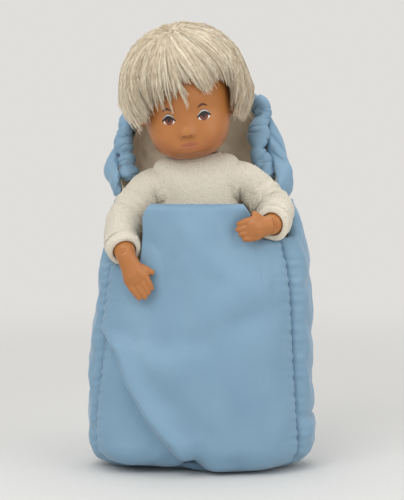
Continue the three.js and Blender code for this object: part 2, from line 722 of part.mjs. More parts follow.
function torso() {
  let shell = seatCuts(torsoLoft(0, 0), 0);
  shell = shell.add(solid(ellipsoid(NECK_BALL, NECK_BALL, NECK_BALL, NECK.toArray(), 16, 10)));
  const holes = [
    barAlongX(HOOK_HOLE, -SHOULDER_FLAT - 5, SHOULDER_FLAT + 5, 0, 0),
    barAlongX(HOOK_HOLE, -HIP_FLAT - 5, HIP_FLAT + 5, 0, HIP_HEIGHT),
    barAlongZ(NECK_BORE, 0, NECK.z + NECK_BALL + 2, NECK.x, NECK.y),
  ];
  shell = shell.subtract(torsoHollow());
  holes.forEach((bore) => { shell = shell.subtract(solid(bore)); });
  add(doll, 'torso', 'skin', shape(shell));
}

// Sleepsuit body: cloth over the torso, open at the neck, shoulders and hips
function suitBody() {
  const inner = SUIT_EASE;
  const outer = SUIT_EASE + SUIT_CLOTH;
  let cloth = torsoLoft(outer, SUIT_NECK_RISE, SUIT_GATHERS);
  cloth = cloth.subtract(torsoLoft(inner, inner));
  cloth = seatCuts(cloth, SEAT);
  const neck = barAlongZ(COLLAR.outer + SEAT, TORSO_HIGH - 6, TORSO_HIGH + 9, NECK.x, NECK.y, 24);
  cloth = cloth.subtract(solid(neck));
  add(doll, 'sleepsuit_body', 'terry', shape(cloth));
  const ring = (radius, z) => Array.from({ length: 24 }, (_, k) => new THREE.Vector3(
    NECK.x + radius * Math.cos((Math.PI * k) / 12),
    NECK.y + radius * Math.sin((Math.PI * k) / 12),
    z + COLLAR.slope * Math.sin((Math.PI * k) / 12),
  ));
  const { inner: inside, outer: outside, low, high } = COLLAR;
  const middle = (inside + outside) / 2;
  add(doll, 'sleepsuit_collar', 'terry', skin([
    ring(inside, low), ring(outside, low), ring(outside, high - 1), ring(middle, high),
    ring(inside, high - 1),
  ], true));
}

// Hook: a knob inside the torso and a shank moulded into the limb, round about its axis
function limbHook(name, side, flat, height) {
  const shankEnd = side * (flat + SEAT + HOOK_DEPTH);
  const knobOut = side * (flat - KNOB_INSET);
  const knobIn = knobOut - side * KNOB_LONG;
  const hook = solid(barAlongX(HOOK_RADIUS, knobOut - side * 0.5, shankEnd, 0, height, 12))
    .add(solid(barAlongX(HOOK_KNOB, knobIn, knobOut, 0, height, 14)));
  add(doll, name, 'steel', shape(hook));
}

function hookBore(side, flat, height) {
  const end = side * (flat + SEAT + HOOK_DEPTH + SEAT);
  return solid(barAlongX(HOOK_RADIUS + HOOK_FIT, side * (flat - 2), end, 0, height, 12));
}

// Hand: a flat palm, four fingers side by side and a thumb, moulded in one
function hand(wrist, palm, tips, thumbTip, across) {
  const along = tips.clone().sub(palm).normalize();
  const wide = across.clone().addScaledVector(along, -across.dot(along)).normalize();
  const deep = new THREE.Vector3().crossVectors(along, wide);
  const section = (place, halfWidth, halfThick) => Array.from({ length: 12 }, (_, k) => {
    const angle = (Math.PI * k) / 6;
    return place.clone().addScaledVector(wide, halfWidth * Math.cos(angle))
      .addScaledVector(deep, halfThick * Math.sin(angle));
  });
  const knuckles = palm.clone().addScaledVector(along, 5);
  const half = 2 * FINGER_PITCH;
  let result = solid(skin([
    section(wrist.clone().addScaledVector(along, -3), WRIST.halfWide, WRIST.halfThick),
    section(wrist.clone().lerp(palm, 0.5), HEEL_OF_HAND.halfWide, HEEL_OF_HAND.halfThick),
    section(palm, half, PALM_THICK),
    section(knuckles, half, PALM_THICK - 1),
    section(knuckles.clone().addScaledVector(along, 2), half - 2.5, PALM_THICK - 2.4),
  ]));
  for (let i = -1.5; i <= 1.5; i += 1) {
    const root = palm.clone().addScaledVector(wide, i * FINGER_PITCH);
    const tip = tips.clone().addScaledVector(wide, i * FINGER_PITCH * 0.86)
      .addScaledVector(along, -1.6 * Math.abs(i - 0.4));
    const middle = root.clone().lerp(tip, 0.6).addScaledVector(deep, -0.6);
    const line = [root, middle, tip].map((p) => p.toArray());
    const finger = [FINGER_RADIUS, FINGER_RADIUS + 0.2, FINGER_RADIUS, FINGER_RADIUS * 0.62];
    result = result.add(solid(skin(limbRings(line, finger, { steps: 4, sides: 7 }))));
  }
  const thumbRoot = wrist.clone().lerp(palm, 0.55);
  const bend = thumbRoot.clone().lerp(thumbTip, 0.55).addScaledVector(along, -1.2);
  const thumb = [thumbRoot, bend, thumbTip].map((p) => p.toArray());
  return result.add(solid(skin(limbRings(thumb, THUMB_RADII, { steps: 4, sides: 8 }))));
}

function arm(name, side, line, [palm, tips, thumbTip, across]) {
  const wrist = v3(line[line.length - 1]);
  let limb = solid(skin(limbRings(line, ARM_RADII, { steps: 10, sides: 12 })));
  limb = limb.add(hand(wrist, v3(palm), v3(tips), v3(thumbTip), v3(across)));
  limb = limb.subtract(hookBore(side, SHOULDER_FLAT, 0));
  add(doll, `${name}_arm`, 'skin', shape(limb));
  limbHook(`${name}_arm_hook`, side, SHOULDER_FLAT, 0);
  const sleeve = { steps: 12, sides: 12, from: 0.004, to: CUFF_START - SLEEVE_GAP };
  add(doll, `${name}_sleeve`, 'terry',
    tubeOfCloth(line, ARM_RADII, sleeve, SUIT_EASE, SUIT_EASE + SUIT_CLOTH));
  const length = new THREE.CatmullRomCurve3(line.map(v3)).getLength();
  const cuff = { steps: 20, sides: 12, from: CUFF_START, to: CUFF_START + CUFF_WIDTH / length };
  add(doll, `${name}_cuff`, 'terry', tubeOfCloth(line, ARM_RADII, cuff, SUIT_EASE,
    SUIT_EASE + SUIT_CLOTH + CUFF_STANDS_PROUD));
}

// Rings turned about an axis along X: place and radius of each
const turnedAlongX = (stations, z, sides) => skin(stations.map(([x, radius]) => Array.from(
  { length: sides },
  (_, k) => new THREE.Vector3(
    x,
    radius * Math.cos((2 * Math.PI * k) / sides),
    z + radius * Math.sin((2 * Math.PI * k) / sides),
  ),
)));

// Leg: curved baby leg and foot; its sleepsuit leg is the same shape with room inside
function legShape(side, grow, start) {
  const dome = HIP_DOME.map(([out, radius], i) => [
    side * (HIP_FLAT + SEAT + (i === 0 ? start : out + grow)), radius + grow,
  ]);
  const line = LEG_LINE.map(([x, y, z]) => [side * x, y, z + HIP_HEIGHT]);
  const tube = solid(skin(limbRings(line, LEG_RADII, { steps: 7, sides: 10, extra: grow })));
  const foot = ellipsoid(FOOT.wide + grow, FOOT.long + grow, FOOT.high + grow,
    [side * FOOT.x, FOOT.y, FOOT.z + HIP_HEIGHT], 10, 7);
  return tube.add(solid(foot)).add(solid(turnedAlongX(dome, HIP_HEIGHT, 14)));
}

function leg(name, side) {
  const limb = legShape(side, 0, 0).subtract(hookBore(side, HIP_FLAT, HIP_HEIGHT));
  add(doll, `${name}_leg`, 'skin', shape(limb));
  limbHook(`${name}_leg_hook`, side, HIP_FLAT, HIP_HEIGHT);
  const cloth = legShape(side, SUIT_EASE + SUIT_CLOTH * 0.8, SEAT)
    .subtract(legShape(side, SUIT_EASE, -3));
  add(doll, `${name}_suit_leg`, 'terry', shape(cloth));
}

// Elastic: one length from arm to arm, one loop from the neck hook down to the legs
function elastics() {
  const reach = SHOULDER_FLAT - KNOB_INSET - KNOB_LONG - SEAT;
  add(doll, 'arm_elastic', 'elastic', barAlongX(ELASTIC_RADIUS, -reach, reach, 0, 0, 10));
  const half = LOOP_HALF.map(([x, y, z]) => [x, y, z + HIP_HEIGHT]);
  const top = [LOOP_TOP[0], LOOP_TOP[1], LOOP_TOP[2] + HIP_HEIGHT];
  const loop = [...half, top, ...half.map(([x, y, z]) => [-x, y, z]).reverse()];
  add(doll, 'neck_to_leg_elastic', 'elastic',
    skin(limbRings(loop, [1, 1], { steps: 30, sides: 6, extra: ELASTIC_RADIUS - 1 })));
}

// Head: a smooth closed form about its middle, with the face raised from it
const hill = (x, z, x0, z0, wide, high) => Math
  .exp(-((x - x0) ** 2) / (2 * wide * wide) - ((z - z0) ** 2) / (2 * high * high));

function headRadius(direction) {
  const front = Math.max(0, -direction.y);
  const down = Math.max(0, -direction.z);
  const power = 2.05 + 1.4 * smooth(front * 1.3) * smooth(down * 1.6);
  const reachY = direction.y < 0 ? HEAD_FRONT : HEAD_BACK;
  const reachZ = direction.z < 0 ? HEAD_DOWN : HEAD_UP;
  const base = (Math.abs(direction.x / HEAD_WIDE) ** power + Math.abs(direction.y / reachY) ** power
    + Math.abs(direction.z / reachZ) ** power) ** (-1 / power);
  if (direction.y > 0) return base;
  const x = Math.abs(direction.x * base);
  const z = direction.z * base + HEAD_MIDDLE.z;
  const face = smooth(front * 2.2);
  return base + face * FACE_FORM.reduce(
    (sum, [height, x0, z0, wide, high]) => sum + height * hill(x, z, x0, z0, wide, high),
    0,
  );
}

// Columns crowd towards the face, rows towards its features
const faceTurn = (u) => {
  const angle = 2 * Math.PI * u;
  return angle - 0.52 * Math.sin(angle);
};
const faceDrop = (v) => Math.PI
  * (v - 0.055 * Math.sin(2 * Math.PI * (v - 0.12)) - 0.0376 * (1 - 2 * v));

const directionAt = (turn, drop) => new THREE.Vector3(
  Math.sin(turn) * Math.sin(drop), -Math.cos(turn) * Math.sin(drop), Math.cos(drop),
);

function headSolid(columns, rows) {
  const rings = [];
  for (let j = 1; j < rows; j += 1) {
    const drop = faceDrop(j / rows);
    rings.push(Array.from({ length: columns }, (_, i) => {
      const direction = directionAt(faceTurn(i / columns), drop);
      return HEAD_MIDDLE.clone().addScaledVector(direction, headRadius(direction));
    }));
  }
  return skin(rings);
}

function head() {
  let shell = solid(headSolid(34, 26));
  for (const side of [-1, 1]) {
    const ear = ellipsoid(EAR.thick, EAR.deep, EAR.high, [0, 0, 0], 10, 8)
      .rotateX(-0.15).rotateZ(side * 0.35).translate(side * EAR.x, EAR.y, EAR.z);
    shell = shell.add(solid(ear));
  }
  const hollow = ellipsoid(HEAD_HOLLOW.x, HEAD_HOLLOW.y, HEAD_HOLLOW.z,
    [0, HEAD_MIDDLE.y, HEAD_HOLLOW.middle], 16, 10);
  const cup = NECK_BALL + SEAT;
  const bore = barAlongZ(NECK_BORE - 0.5, 0, HEAD_HOLLOW.middle, 0, 0);
  shell = shell.subtract(solid(hollow)).subtract(solid(ellipsoid(cup, cup, cup, [0, 0, 0], 16, 10)))
    .subtract(solid(bore));
  add(headFrame, 'head', 'skin', shape(shell));

  const floor = HEAD_HOLLOW.middle - HEAD_HOLLOW.z;
  const barHeight = floor + 3.2;
  const { wire, bar, halfLong, eye, eyeDrop } = NECK_HOOK;
  const hook = solid(barAlongX(bar, -halfLong, halfLong, 0, barHeight, 10))
    .add(solid(barAlongZ(wire, -eyeDrop, barHeight, 0, 0, 10)))
    .add(solid(ellipsoid(eye, eye, eye, [0, 0, -eyeDrop], 10, 7)));
  add(headFrame, 'neck_hook', 'steel', shape(hook));
}

// Hair: a thick cap of locks that spring from a crown near the top
function hairline(turn) {
  const degrees = ((((turn / DEG + 180) % 360) + 360) % 360) - 180;
  const around = [...HAIRLINE, [180, HAIRLINE[0][1]]];
  return interpolate(around, degrees)[0] * DEG;
}

function hair() {
  const around = 45;
  const up = 10;
  const inner = [];
  const outer = [];
  const crown = directionAt(HAIR_CROWN.turn * DEG, HAIR_CROWN.drop * DEG);
  for (let j = 0; j <= up; j += 1) {
    for (let i = 0; i < (j === 0 ? 1 : around); i += 1) {
      const turn = (2 * Math.PI * i) / around;
      const zigzag = LOCK_TIPS * DEG * Math.cos(HAIR_LOCKS * turn) * (j / up) ** 2;
      const drop = (hairline(turn) + zigzag) * (j / up);
      const direction = directionAt(turn, drop);
      const round = Math.atan2(direction.x - crown.x, -(direction.y - crown.y));
      const lock = LOCK_RELIEF * Math.cos(HAIR_LOCKS * round) * smooth((j / up) * 2);
      const side = HAIR_SIDE_EXTRA * Math.abs(Math.sin(turn)) * smooth(Math.sin(drop) * 1.2 - 0.2);
      const hang = HAIR_HANG.extra * Math.abs(Math.sin(turn))
        * smooth((drop - HAIR_HANG.from) / HAIR_HANG.over)
        * smooth(1 - direction.y / HAIR_HANG.back);
      const end = 1 - HAIR_TIP_THIN * (j / up) ** 5;
      const point = HEAD_MIDDLE.clone().addScaledVector(direction, headRadius(direction));
      const sideways = Math.abs(point.x) > 22
        ? 6.6 * hill(point.y, point.z, EAR.y, EAR.z, 7.5, 10) : 0;
      const under = HAIR_OFF_SCALP + sideways;
      inner.push(point.clone().addScaledVector(direction, under));
      outer.push(point.clone().addScaledVector(direction, under + 1.5
        + (HAIR_THICK + side + hang - 1.5 + lock) * end));
    }
  }
  add(headFrame, 'hair', 'hair', capShell([...outer, ...inner], around, up));
}

bagPanels();
hood();
torso();
suitBody();
arm('right', -1, ARM_RIGHT, HAND_RIGHT);
arm('left', 1, ARM_LEFT, HAND_LEFT);
leg('right', -1);
leg('left', 1);
elastics();
head();
hair();

export default object;
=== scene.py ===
import math

import bmesh
import bpy
import numpy as np
from mathutils import Matrix, Vector
from mathutils.bvhtree import BVHTree


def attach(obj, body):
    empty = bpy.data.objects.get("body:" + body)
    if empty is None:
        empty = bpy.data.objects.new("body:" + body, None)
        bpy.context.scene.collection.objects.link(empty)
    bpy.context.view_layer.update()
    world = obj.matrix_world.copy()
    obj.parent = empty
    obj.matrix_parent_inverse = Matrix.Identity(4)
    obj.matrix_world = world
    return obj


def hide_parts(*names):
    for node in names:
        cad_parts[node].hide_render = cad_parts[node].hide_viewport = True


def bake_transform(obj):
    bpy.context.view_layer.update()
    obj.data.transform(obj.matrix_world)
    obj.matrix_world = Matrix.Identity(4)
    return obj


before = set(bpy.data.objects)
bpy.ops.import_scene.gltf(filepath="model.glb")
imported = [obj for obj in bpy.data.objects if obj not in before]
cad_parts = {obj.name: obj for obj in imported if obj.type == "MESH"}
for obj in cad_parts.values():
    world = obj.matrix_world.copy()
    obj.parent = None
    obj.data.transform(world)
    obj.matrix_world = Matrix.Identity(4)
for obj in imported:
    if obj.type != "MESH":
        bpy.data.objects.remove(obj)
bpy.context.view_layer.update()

MM = 0.001
DEG = math.pi / 180


# Small tools: numbers, colours, nodes and meshes. Lengths are millimetres until a mesh is made.


def mix(a, b, t):
    """From a at t = 0 to b at t = 1."""
    return a + (b - a) * t


def smooth(t):
    """A soft step from 0 to 1 while t goes from 0 to 1."""
    t = np.clip(t, 0, 1)
    return t * t * (3 - 2 * t)


def bump(x, middle, width):
    """A bell of height 1."""
    return np.exp(-(((x - middle) / width) ** 2) / 2)


def ripples(x, y, wavelength, seed, count=7):
    """Soft irregular waves of about one height, from a few crossed sine waves."""
    rng = np.random.default_rng(seed)
    total = 0
    for _ in range(count):
        turn, phase = rng.uniform(0, math.pi), rng.uniform(0, 2 * math.pi)
        length = wavelength * rng.uniform(0.7, 1.5)
        total = total + np.sin(
            2 * math.pi * (x * math.cos(turn) + y * math.sin(turn)) / length + phase
        )
    return total / count**0.5


def once_round(count):
    """Evenly spaced angles of one full turn."""
    return np.linspace(0, 2 * math.pi, count, endpoint=False)


def squarish(angle, roundness):
    """Cosine and sine, pushed out from a circle towards a square; 2 is a plain circle."""
    c, s = np.cos(angle), np.sin(angle)
    power = 2 / roundness
    return np.sign(c) * np.abs(c) ** power, np.sign(s) * np.abs(s) ** power


def unit(vectors):
    """Vectors of length 1 in the same directions."""
    return vectors / np.linalg.norm(vectors, axis=-1, keepdims=True)


def length_of(line):
    """The length of a line of points."""
    return np.linalg.norm(np.diff(line, axis=0), axis=1).sum()


def flat_list(*grids):
    """The points of several grids as one list."""
    return np.concatenate([grid.reshape(-1, 3) for grid in grids])


def linear(code):
    """The linear colour of an sRGB hex value."""
    shares = [int(code[i : i + 2], 16) / 255 for i in (1, 3, 5)]
    return (
        *[s / 12.92 if s <= 0.04045 else ((s + 0.055) / 1.055) ** 2.4 for s in shares],
        1,
    )


def node(tree, kind, inputs=(), **settings):
    """Adds a node. inputs are (name or number, value or socket to link from)."""
    made = tree.nodes.new(kind)
    for name, value in settings.items():
        setattr(made, name, value)
    for key, value in dict(inputs).items():
        if isinstance(value, bpy.types.NodeSocket):
            tree.links.new(value, made.inputs[key])
        else:
            made.inputs[key].default_value = value
    return made


def shader(name, roughness, **sockets):
    """A new material with one Principled shader: (tree, shader node, Object coordinates)."""
    made = bpy.data.materials.new(name)
    made.use_nodes = True
    tree = made.node_tree
    surface = tree.nodes["Principled BSDF"]
    surface.inputs["Roughness"].default_value = roughness
    for key, value in sockets.items():
        surface.inputs[key.replace("_", " ")].default_value = value
    place = node(tree, "ShaderNodeTexCoord").outputs["Object"]
    return made, tree, surface, place


def cells(scale_mm):
    """Texture scale for a pattern whose features are this many millimetres wide."""
    return 1 / (scale_mm * MM)


def grid_faces(columns, rows, wrap=False, first=0):
    """Quads over a grid of points laid row by row."""
    across = columns if wrap else columns - 1
    i, j = np.meshgrid(np.arange(across), np.arange(rows - 1))
    k = (i + 1) % columns
    quads = np.stack([j * columns + i, j * columns + k, (j + 1) * columns + k, (j + 1) * columns + i])
    return (quads.reshape(4, -1).T + first).tolist()


def shell_faces(columns, rows, wrap=False):
    """Faces of a closed wall: an outer grid, an inner grid, and the rims between them."""
    half = columns * rows
    faces = grid_faces(columns, rows, wrap)
    faces += [f[::-1] for f in grid_faces(columns, rows, wrap, half)]
    for i in range(columns if wrap else columns - 1):
        k = (i + 1) % columns
        low, high = i, (rows - 1) * columns + i
        faces.append([low, low + half, k + half, k])
        faces.append([high, high - i + k, high - i + k + half, high + half])
    if not wrap:
        for j in range(rows - 1):
            a, b = j * columns, (j + 1) * columns
            faces.append([a, b, b + half, a + half])
            a, b = a + columns - 1, b + columns - 1
            faces.append([a, a + half, b + half, b])
    return faces


def outwards(mesh):
    """Turns a closed mesh's faces outwards."""
    work = bmesh.new()
    work.from_mesh(mesh)
    bmesh.ops.recalc_face_normals(work, faces=work.faces)
    work.to_mesh(mesh)
    work.free()


def piece(name, points, faces, finish, body, turn_out=True):
    """A new smooth-shaded piece from points in millimetres, riding on its body."""
    mesh = bpy.data.meshes.new(name)
    mesh.from_pydata((np.asarray(points, float).reshape(-1, 3) * MM).tolist(), [], faces)
    mesh.validate()
    if turn_out:
        outwards(mesh)
    return dress(name, mesh, finish, body)


def in_scene(name, data):
    """A new object in the scene."""
    made = bpy.data.objects.new(name, data)
    bpy.context.scene.collection.objects.link(made)
    return made


def dress(name, mesh, finish, body):
    """An object for a finished mesh: one material, smooth, riding on its body."""
    mesh.materials.clear()
    mesh.materials.append(finish)
    mesh.shade_smooth()
    made = in_scene(name, mesh)
    if body:
        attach(made, body)
    return made


def evaluated(made):
    """The plain mesh that an object's modifiers give; the object itself is removed."""
    graph = bpy.context.evaluated_depsgraph_get()
    mesh = bpy.data.meshes.new_from_object(made.evaluated_get(graph))
    bpy.data.objects.remove(made)
    return mesh


RAIL_STEPS = 60  # fine steps between two given points of a line


def rail(points, count):
    """Evenly spaced points along the smooth line through the given ones."""
    p = [Vector(q) for q in points]
    p = [p[0] * 2 - p[1], *p, p[-1] * 2 - p[-2]]
    fine = []
    for a, b, c, d in zip(p, p[1:], p[2:], p[3:]):
        before, here, after = [(v - u).length ** 0.5 for u, v in ((a, b), (b, c), (c, d))]
        m0 = ((b - a) / before - (c - a) / (before + here) + (c - b) / here) * here
        m1 = ((c - b) / here - (d - b) / (here + after) + (d - c) / after) * here
        for k in range(RAIL_STEPS):
            t = k / RAIL_STEPS
            fine.append(
                b * (2 * t**3 - 3 * t**2 + 1) + m0 * (t**3 - 2 * t**2 + t)
                + c * (3 * t**2 - 2 * t**3) + m1 * (t**3 - t**2)
            )
    fine.append(p[-2])
    fine = np.array(fine)
    steps = np.linalg.norm(np.diff(fine, axis=0), axis=1)
    reach = np.concatenate([[0], np.cumsum(steps)])
    at = np.linspace(0, reach[-1], count)
    return np.stack([np.interp(at, reach, fine[:, k]) for k in range(3)], axis=1)


def through(stations, places):
    """Smooth values through rows whose first number is the place."""
    rows = np.array(stations, float)
    last = len(rows) - 1
    found = []
    for place in np.atleast_1d(places):
        i = int(np.clip(np.searchsorted(rows[:, 0], place) - 1, 0, last - 1))
        a, b, c, d = rows[max(0, i - 1)], rows[i], rows[i + 1], rows[min(last, i + 2)]
        span = c[0] - b[0]
        t = min(1, max(0, (place - b[0]) / span))
        m0 = (c[1:] - a[1:]) / ((c[0] - a[0]) or 1) * span
        m1 = (d[1:] - b[1:]) / ((d[0] - b[0]) or 1) * span
        found.append(
            (2 * t**3 - 3 * t**2 + 1) * b[1:] + (t**3 - 2 * t**2 + t) * m0
            + (3 * t**2 - 2 * t**3) * c[1:] + (t**3 - t**2) * m1
        )
    return np.array(found)


# The camera: a long lens a little above the object, as the photograph was taken.

PHOTO_WIDE, PHOTO_HIGH = 404, 500
MM_PER_PIXEL = 0.67
PIXEL_LEFT_OF_ORIGIN = 202  # the photograph's column over the object's middle
PIXEL_OF_FRONT_EDGE = 477.6  # the row where the bag's front meets the floor
FRONT_EDGE_Y = -38
EYE_HEIGHT = 6 * DEG
EYE_DISTANCE = 1500
SENSOR = 36  # the film's longer side


def make_camera():
    """The camera, set so that the front of the bag's base lies where the photograph has it."""
    middle = (PIXEL_OF_FRONT_EDGE - PHOTO_HIGH / 2) * MM_PER_PIXEL / math.cos(EYE_HEIGHT)
    sideways = (PHOTO_WIDE / 2 - PIXEL_LEFT_OF_ORIGIN) * MM_PER_PIXEL
    target = Vector((sideways, FRONT_EDGE_Y, middle))
    back = Vector((0, -math.cos(EYE_HEIGHT), math.sin(EYE_HEIGHT)))
    lens = bpy.data.cameras.new("camera")
    lens.sensor_fit = "AUTO"
    lens.sensor_width = SENSOR
    lens.lens = SENSOR * EYE_DISTANCE / (PHOTO_HIGH * MM_PER_PIXEL)
    lens.clip_start, lens.clip_end = 0.05, 20
    made = in_scene("camera", lens)
    made.location = (target + back * EYE_DISTANCE) * MM
    made.rotation_euler = (-back).to_track_quat("-Z", "Y").to_euler()
    bpy.context.scene.camera = made


make_camera()


# Materials, each from what the real one is


def vinyl(name, colour, shade):
    """Rotation-moulded vinyl: an even tan that glows a little through, with a soft satin skin
    and the faintest orange peel."""
    made, tree, surface, place = shader(name, 0.42, IOR=1.5, Subsurface_Weight=0.12,
                                        Subsurface_Radius=(0.6, 0.25, 0.12),
                                        Subsurface_Scale=0.004, Coat_Weight=0.06,
                                        Coat_Roughness=0.35)
    patches = node(tree, "ShaderNodeTexNoise", {"Vector": place, "Scale": cells(22), "Detail": 3})
    blend = node(tree, "ShaderNodeMix", {0: patches.outputs["Fac"], "A": linear(shade),
                                         "B": linear(colour)}, data_type="RGBA")
    tree.links.new(blend.outputs["Result"], surface.inputs["Base Color"])
    grain = node(tree, "ShaderNodeTexNoise", {"Vector": place, "Scale": cells(0.9), "Detail": 2})
    dents = node(tree, "ShaderNodeBump", {"Height": grain.outputs["Fac"], "Strength": 0.06,
                                          "Distance": 0.0002})
    tree.links.new(dents.outputs["Normal"], surface.inputs["Normal"])
    return made


def sateen(name, colour, deep):
    """Sateen-woven cotton over polyester wadding: a soft sheen, threads of about 0.5 mm that
    barely show, and faint unevenness of the dye."""
    made, tree, surface, place = shader(name, 0.5, Sheen_Weight=0.35, Sheen_Roughness=0.4,
                                        Specular_IOR_Level=0.35)
    surface.inputs["Sheen Tint"].default_value = linear("#dfeaf4")
    clouds = node(tree, "ShaderNodeTexNoise", {"Vector": place, "Scale": cells(30), "Detail": 4})
    blend = node(tree, "ShaderNodeMix", {0: clouds.outputs["Fac"], "A": linear(deep),
                                         "B": linear(colour)}, data_type="RGBA")
    weft = node(tree, "ShaderNodeTexWave", {"Vector": place, "Scale": cells(1.1) / 6.3,
                                            "Distortion": 1.2, "Detail": 2},
                wave_type="BANDS", bands_direction="Z")
    warp = node(tree, "ShaderNodeTexWave", {"Vector": place, "Scale": cells(1.3) / 6.3,
                                            "Distortion": 1.2, "Detail": 2},
                wave_type="BANDS", bands_direction="X")
    weave = node(tree, "ShaderNodeMath", {0: weft.outputs["Fac"], 1: warp.outputs["Fac"]},
                 operation="ADD")
    tree.links.new(blend.outputs["Result"], surface.inputs["Base Color"])
    crumple = node(tree, "ShaderNodeTexNoise", {"Vector": place, "Scale": cells(9), "Detail": 5,
                                                "Roughness": 0.6})
    soft = node(tree, "ShaderNodeBump", {"Height": crumple.outputs["Fac"], "Strength": 0.22,
                                         "Distance": 0.0016})
    fine = node(tree, "ShaderNodeBump", {"Height": weave.outputs[0], "Strength": 0.05,
                                         "Distance": 0.0001, "Normal": soft.outputs["Normal"]})
    tree.links.new(fine.outputs["Normal"], surface.inputs["Normal"])
    return made


def knitted_terry(name):
    """Knitted cotton terry: matt ivory loops about 1 mm wide, with painted shade in the hollows between
    them.
    """
    made, tree, surface, place = shader(name, 0.95, Sheen_Weight=0.5, Sheen_Roughness=0.6,
                                        Specular_IOR_Level=0.15)
    surface.inputs["Sheen Tint"].default_value = linear("#fffaf0")
    loops = node(tree, "ShaderNodeTexVoronoi", {"Vector": place, "Scale": cells(0.85),
                                                "Randomness": 1.0}, feature="F1")
    tufts = node(tree, "ShaderNodeTexNoise", {"Vector": place, "Scale": cells(2.4), "Detail": 3})
    # painted shade: darker where the loops' relief is low, between the loops
    ramp = node(tree, "ShaderNodeMapRange", {"Value": loops.outputs["Distance"], "From Min": 0.1,
                                             "From Max": 0.75, "To Min": 0.0, "To Max": 1.0})
    blend = node(tree, "ShaderNodeMix", {0: ramp.outputs[0], "A": linear("#ebe4d5"),
                                         "B": linear("#cec4b0")}, data_type="RGBA")
    warm = node(tree, "ShaderNodeMix", {0: tufts.outputs["Fac"], "A": blend.outputs["Result"],
                                        "B": linear("#e6decd")}, data_type="RGBA")
    tree.links.new(warm.outputs["Result"], surface.inputs["Base Color"])
    height = node(tree, "ShaderNodeMath", {0: 1.0, 1: loops.outputs["Distance"]},
                  operation="SUBTRACT")
    pile = node(tree, "ShaderNodeBump", {"Height": height.outputs[0], "Strength": 0.8,
                                         "Distance": 0.0007})
    tree.links.new(pile.outputs["Normal"], surface.inputs["Normal"])
    return made


def lining_cotton(name, light, dark):
    """Thin plain-woven cotton, washed and crinkled: matt beige, darkened to brown in its creases as
    painted shade.
    """
    made, tree, surface, place = shader(name, 0.85, Sheen_Weight=0.15, Specular_IOR_Level=0.2)
    creases = node(tree, "ShaderNodeTexNoise", {"Vector": place, "Scale": cells(14), "Detail": 6,
                                                "Roughness": 0.65, "Distortion": 0.6})
    # painted shade: brown where the crinkles' relief is low
    blend = node(tree, "ShaderNodeMix", {0: creases.outputs["Fac"], "A": linear(dark),
                                         "B": linear(light)}, data_type="RGBA")
    tree.links.new(blend.outputs["Result"], surface.inputs["Base Color"])
    crinkle = node(tree, "ShaderNodeBump", {"Height": creases.outputs["Fac"], "Strength": 0.6,
                                            "Distance": 0.002})
    weave = node(tree, "ShaderNodeTexChecker", {"Vector": place, "Scale": cells(0.8)})
    fine = node(tree, "ShaderNodeBump", {"Height": weave.outputs["Fac"], "Strength": 0.06,
                                         "Distance": 0.0001, "Normal": crinkle.outputs["Normal"]})
    tree.links.new(fine.outputs["Normal"], surface.inputs["Normal"])
    return made


def hair_fibre(name, light, dark, strength):
    """Rooted nylon fibre: pale blonde with honey and ash strands mixed in, and a satin gleam."""
    made, tree, surface, place = shader(name, 0.42, Sheen_Weight=0.1, Specular_IOR_Level=0.45)
    tone = node(tree, "ShaderNodeAttribute", attribute_name="strand_tone")
    streaks = node(tree, "ShaderNodeTexNoise", {"Vector": place, "Scale": cells(5), "Detail": 4})
    sum_of = node(tree, "ShaderNodeMath", {0: tone.outputs["Fac"], 1: streaks.outputs["Fac"]},
                  operation="ADD")
    half = node(tree, "ShaderNodeMath", {0: sum_of.outputs[0], 1: strength}, operation="MULTIPLY")
    blend = node(tree, "ShaderNodeMix", {0: half.outputs[0], "A": linear(dark),
                                         "B": linear(light)}, data_type="RGBA")
    tree.links.new(blend.outputs["Result"], surface.inputs["Base Color"])
    return made


def paint(name, colour, roughness=0.5):
    """Enamel brushed on by hand over the vinyl: flat colour with a slight gloss and a little
    unevenness where the brush ran dry."""
    made, tree, surface, place = shader(name, roughness, IOR=1.5)
    strokes = node(tree, "ShaderNodeTexNoise", {"Vector": place, "Scale": cells(0.6), "Detail": 2})
    shade = node(tree, "ShaderNodeHueSaturation", {"Color": linear(colour), "Value": 0.86})
    blend = node(tree, "ShaderNodeMix", {0: strokes.outputs["Fac"], "A": shade.outputs["Color"],
                                         "B": linear(colour)}, data_type="RGBA")
    tree.links.new(blend.outputs["Result"], surface.inputs["Base Color"])
    return made


def braided_elastic(name):
    """Rubber core in a braided cotton cover: fine crossing ribs about 0.8 mm apart, with painted shade
    in the grooves between them.
    """
    made, tree, surface, place = shader(name, 0.8, Sheen_Weight=0.2)
    ribs = node(tree, "ShaderNodeTexWave", {"Vector": place, "Scale": cells(0.8) / 6.3},
                wave_type="BANDS", bands_direction="DIAGONAL")
    # painted shade: darker in the grooves between the ribs
    blend = node(tree, "ShaderNodeMix", {0: ribs.outputs["Fac"], "A": linear("#cfcabb"),
                                         "B": linear("#efece3")}, data_type="RGBA")
    tree.links.new(blend.outputs["Result"], surface.inputs["Base Color"])
    relief = node(tree, "ShaderNodeBump", {"Height": ribs.outputs["Fac"], "Strength": 0.5,
                                           "Distance": 0.0002})
    tree.links.new(relief.outputs["Normal"], surface.inputs["Normal"])
    return made


def plated_wire(name):
    """Bent steel wire, zinc plated: a dull bright metal with fine drawing marks along it."""
    made, tree, surface, place = shader(name, 0.3, Metallic=1.0)
    marks = node(tree, "ShaderNodeTexNoise", {"Vector": place, "Scale": cells(1.2), "Detail": 4})
    blend = node(tree, "ShaderNodeMix", {0: marks.outputs["Fac"], "A": linear("#9ea2a6"),
                                         "B": linear("#c9ccd0")}, data_type="RGBA")
    tree.links.new(blend.outputs["Result"], surface.inputs["Base Color"])
    rough = node(tree, "ShaderNodeMapRange", {"Value": marks.outputs["Fac"], "To Min": 0.24,
                                              "To Max": 0.45})
    tree.links.new(rough.outputs[0], surface.inputs["Roughness"])
    return made


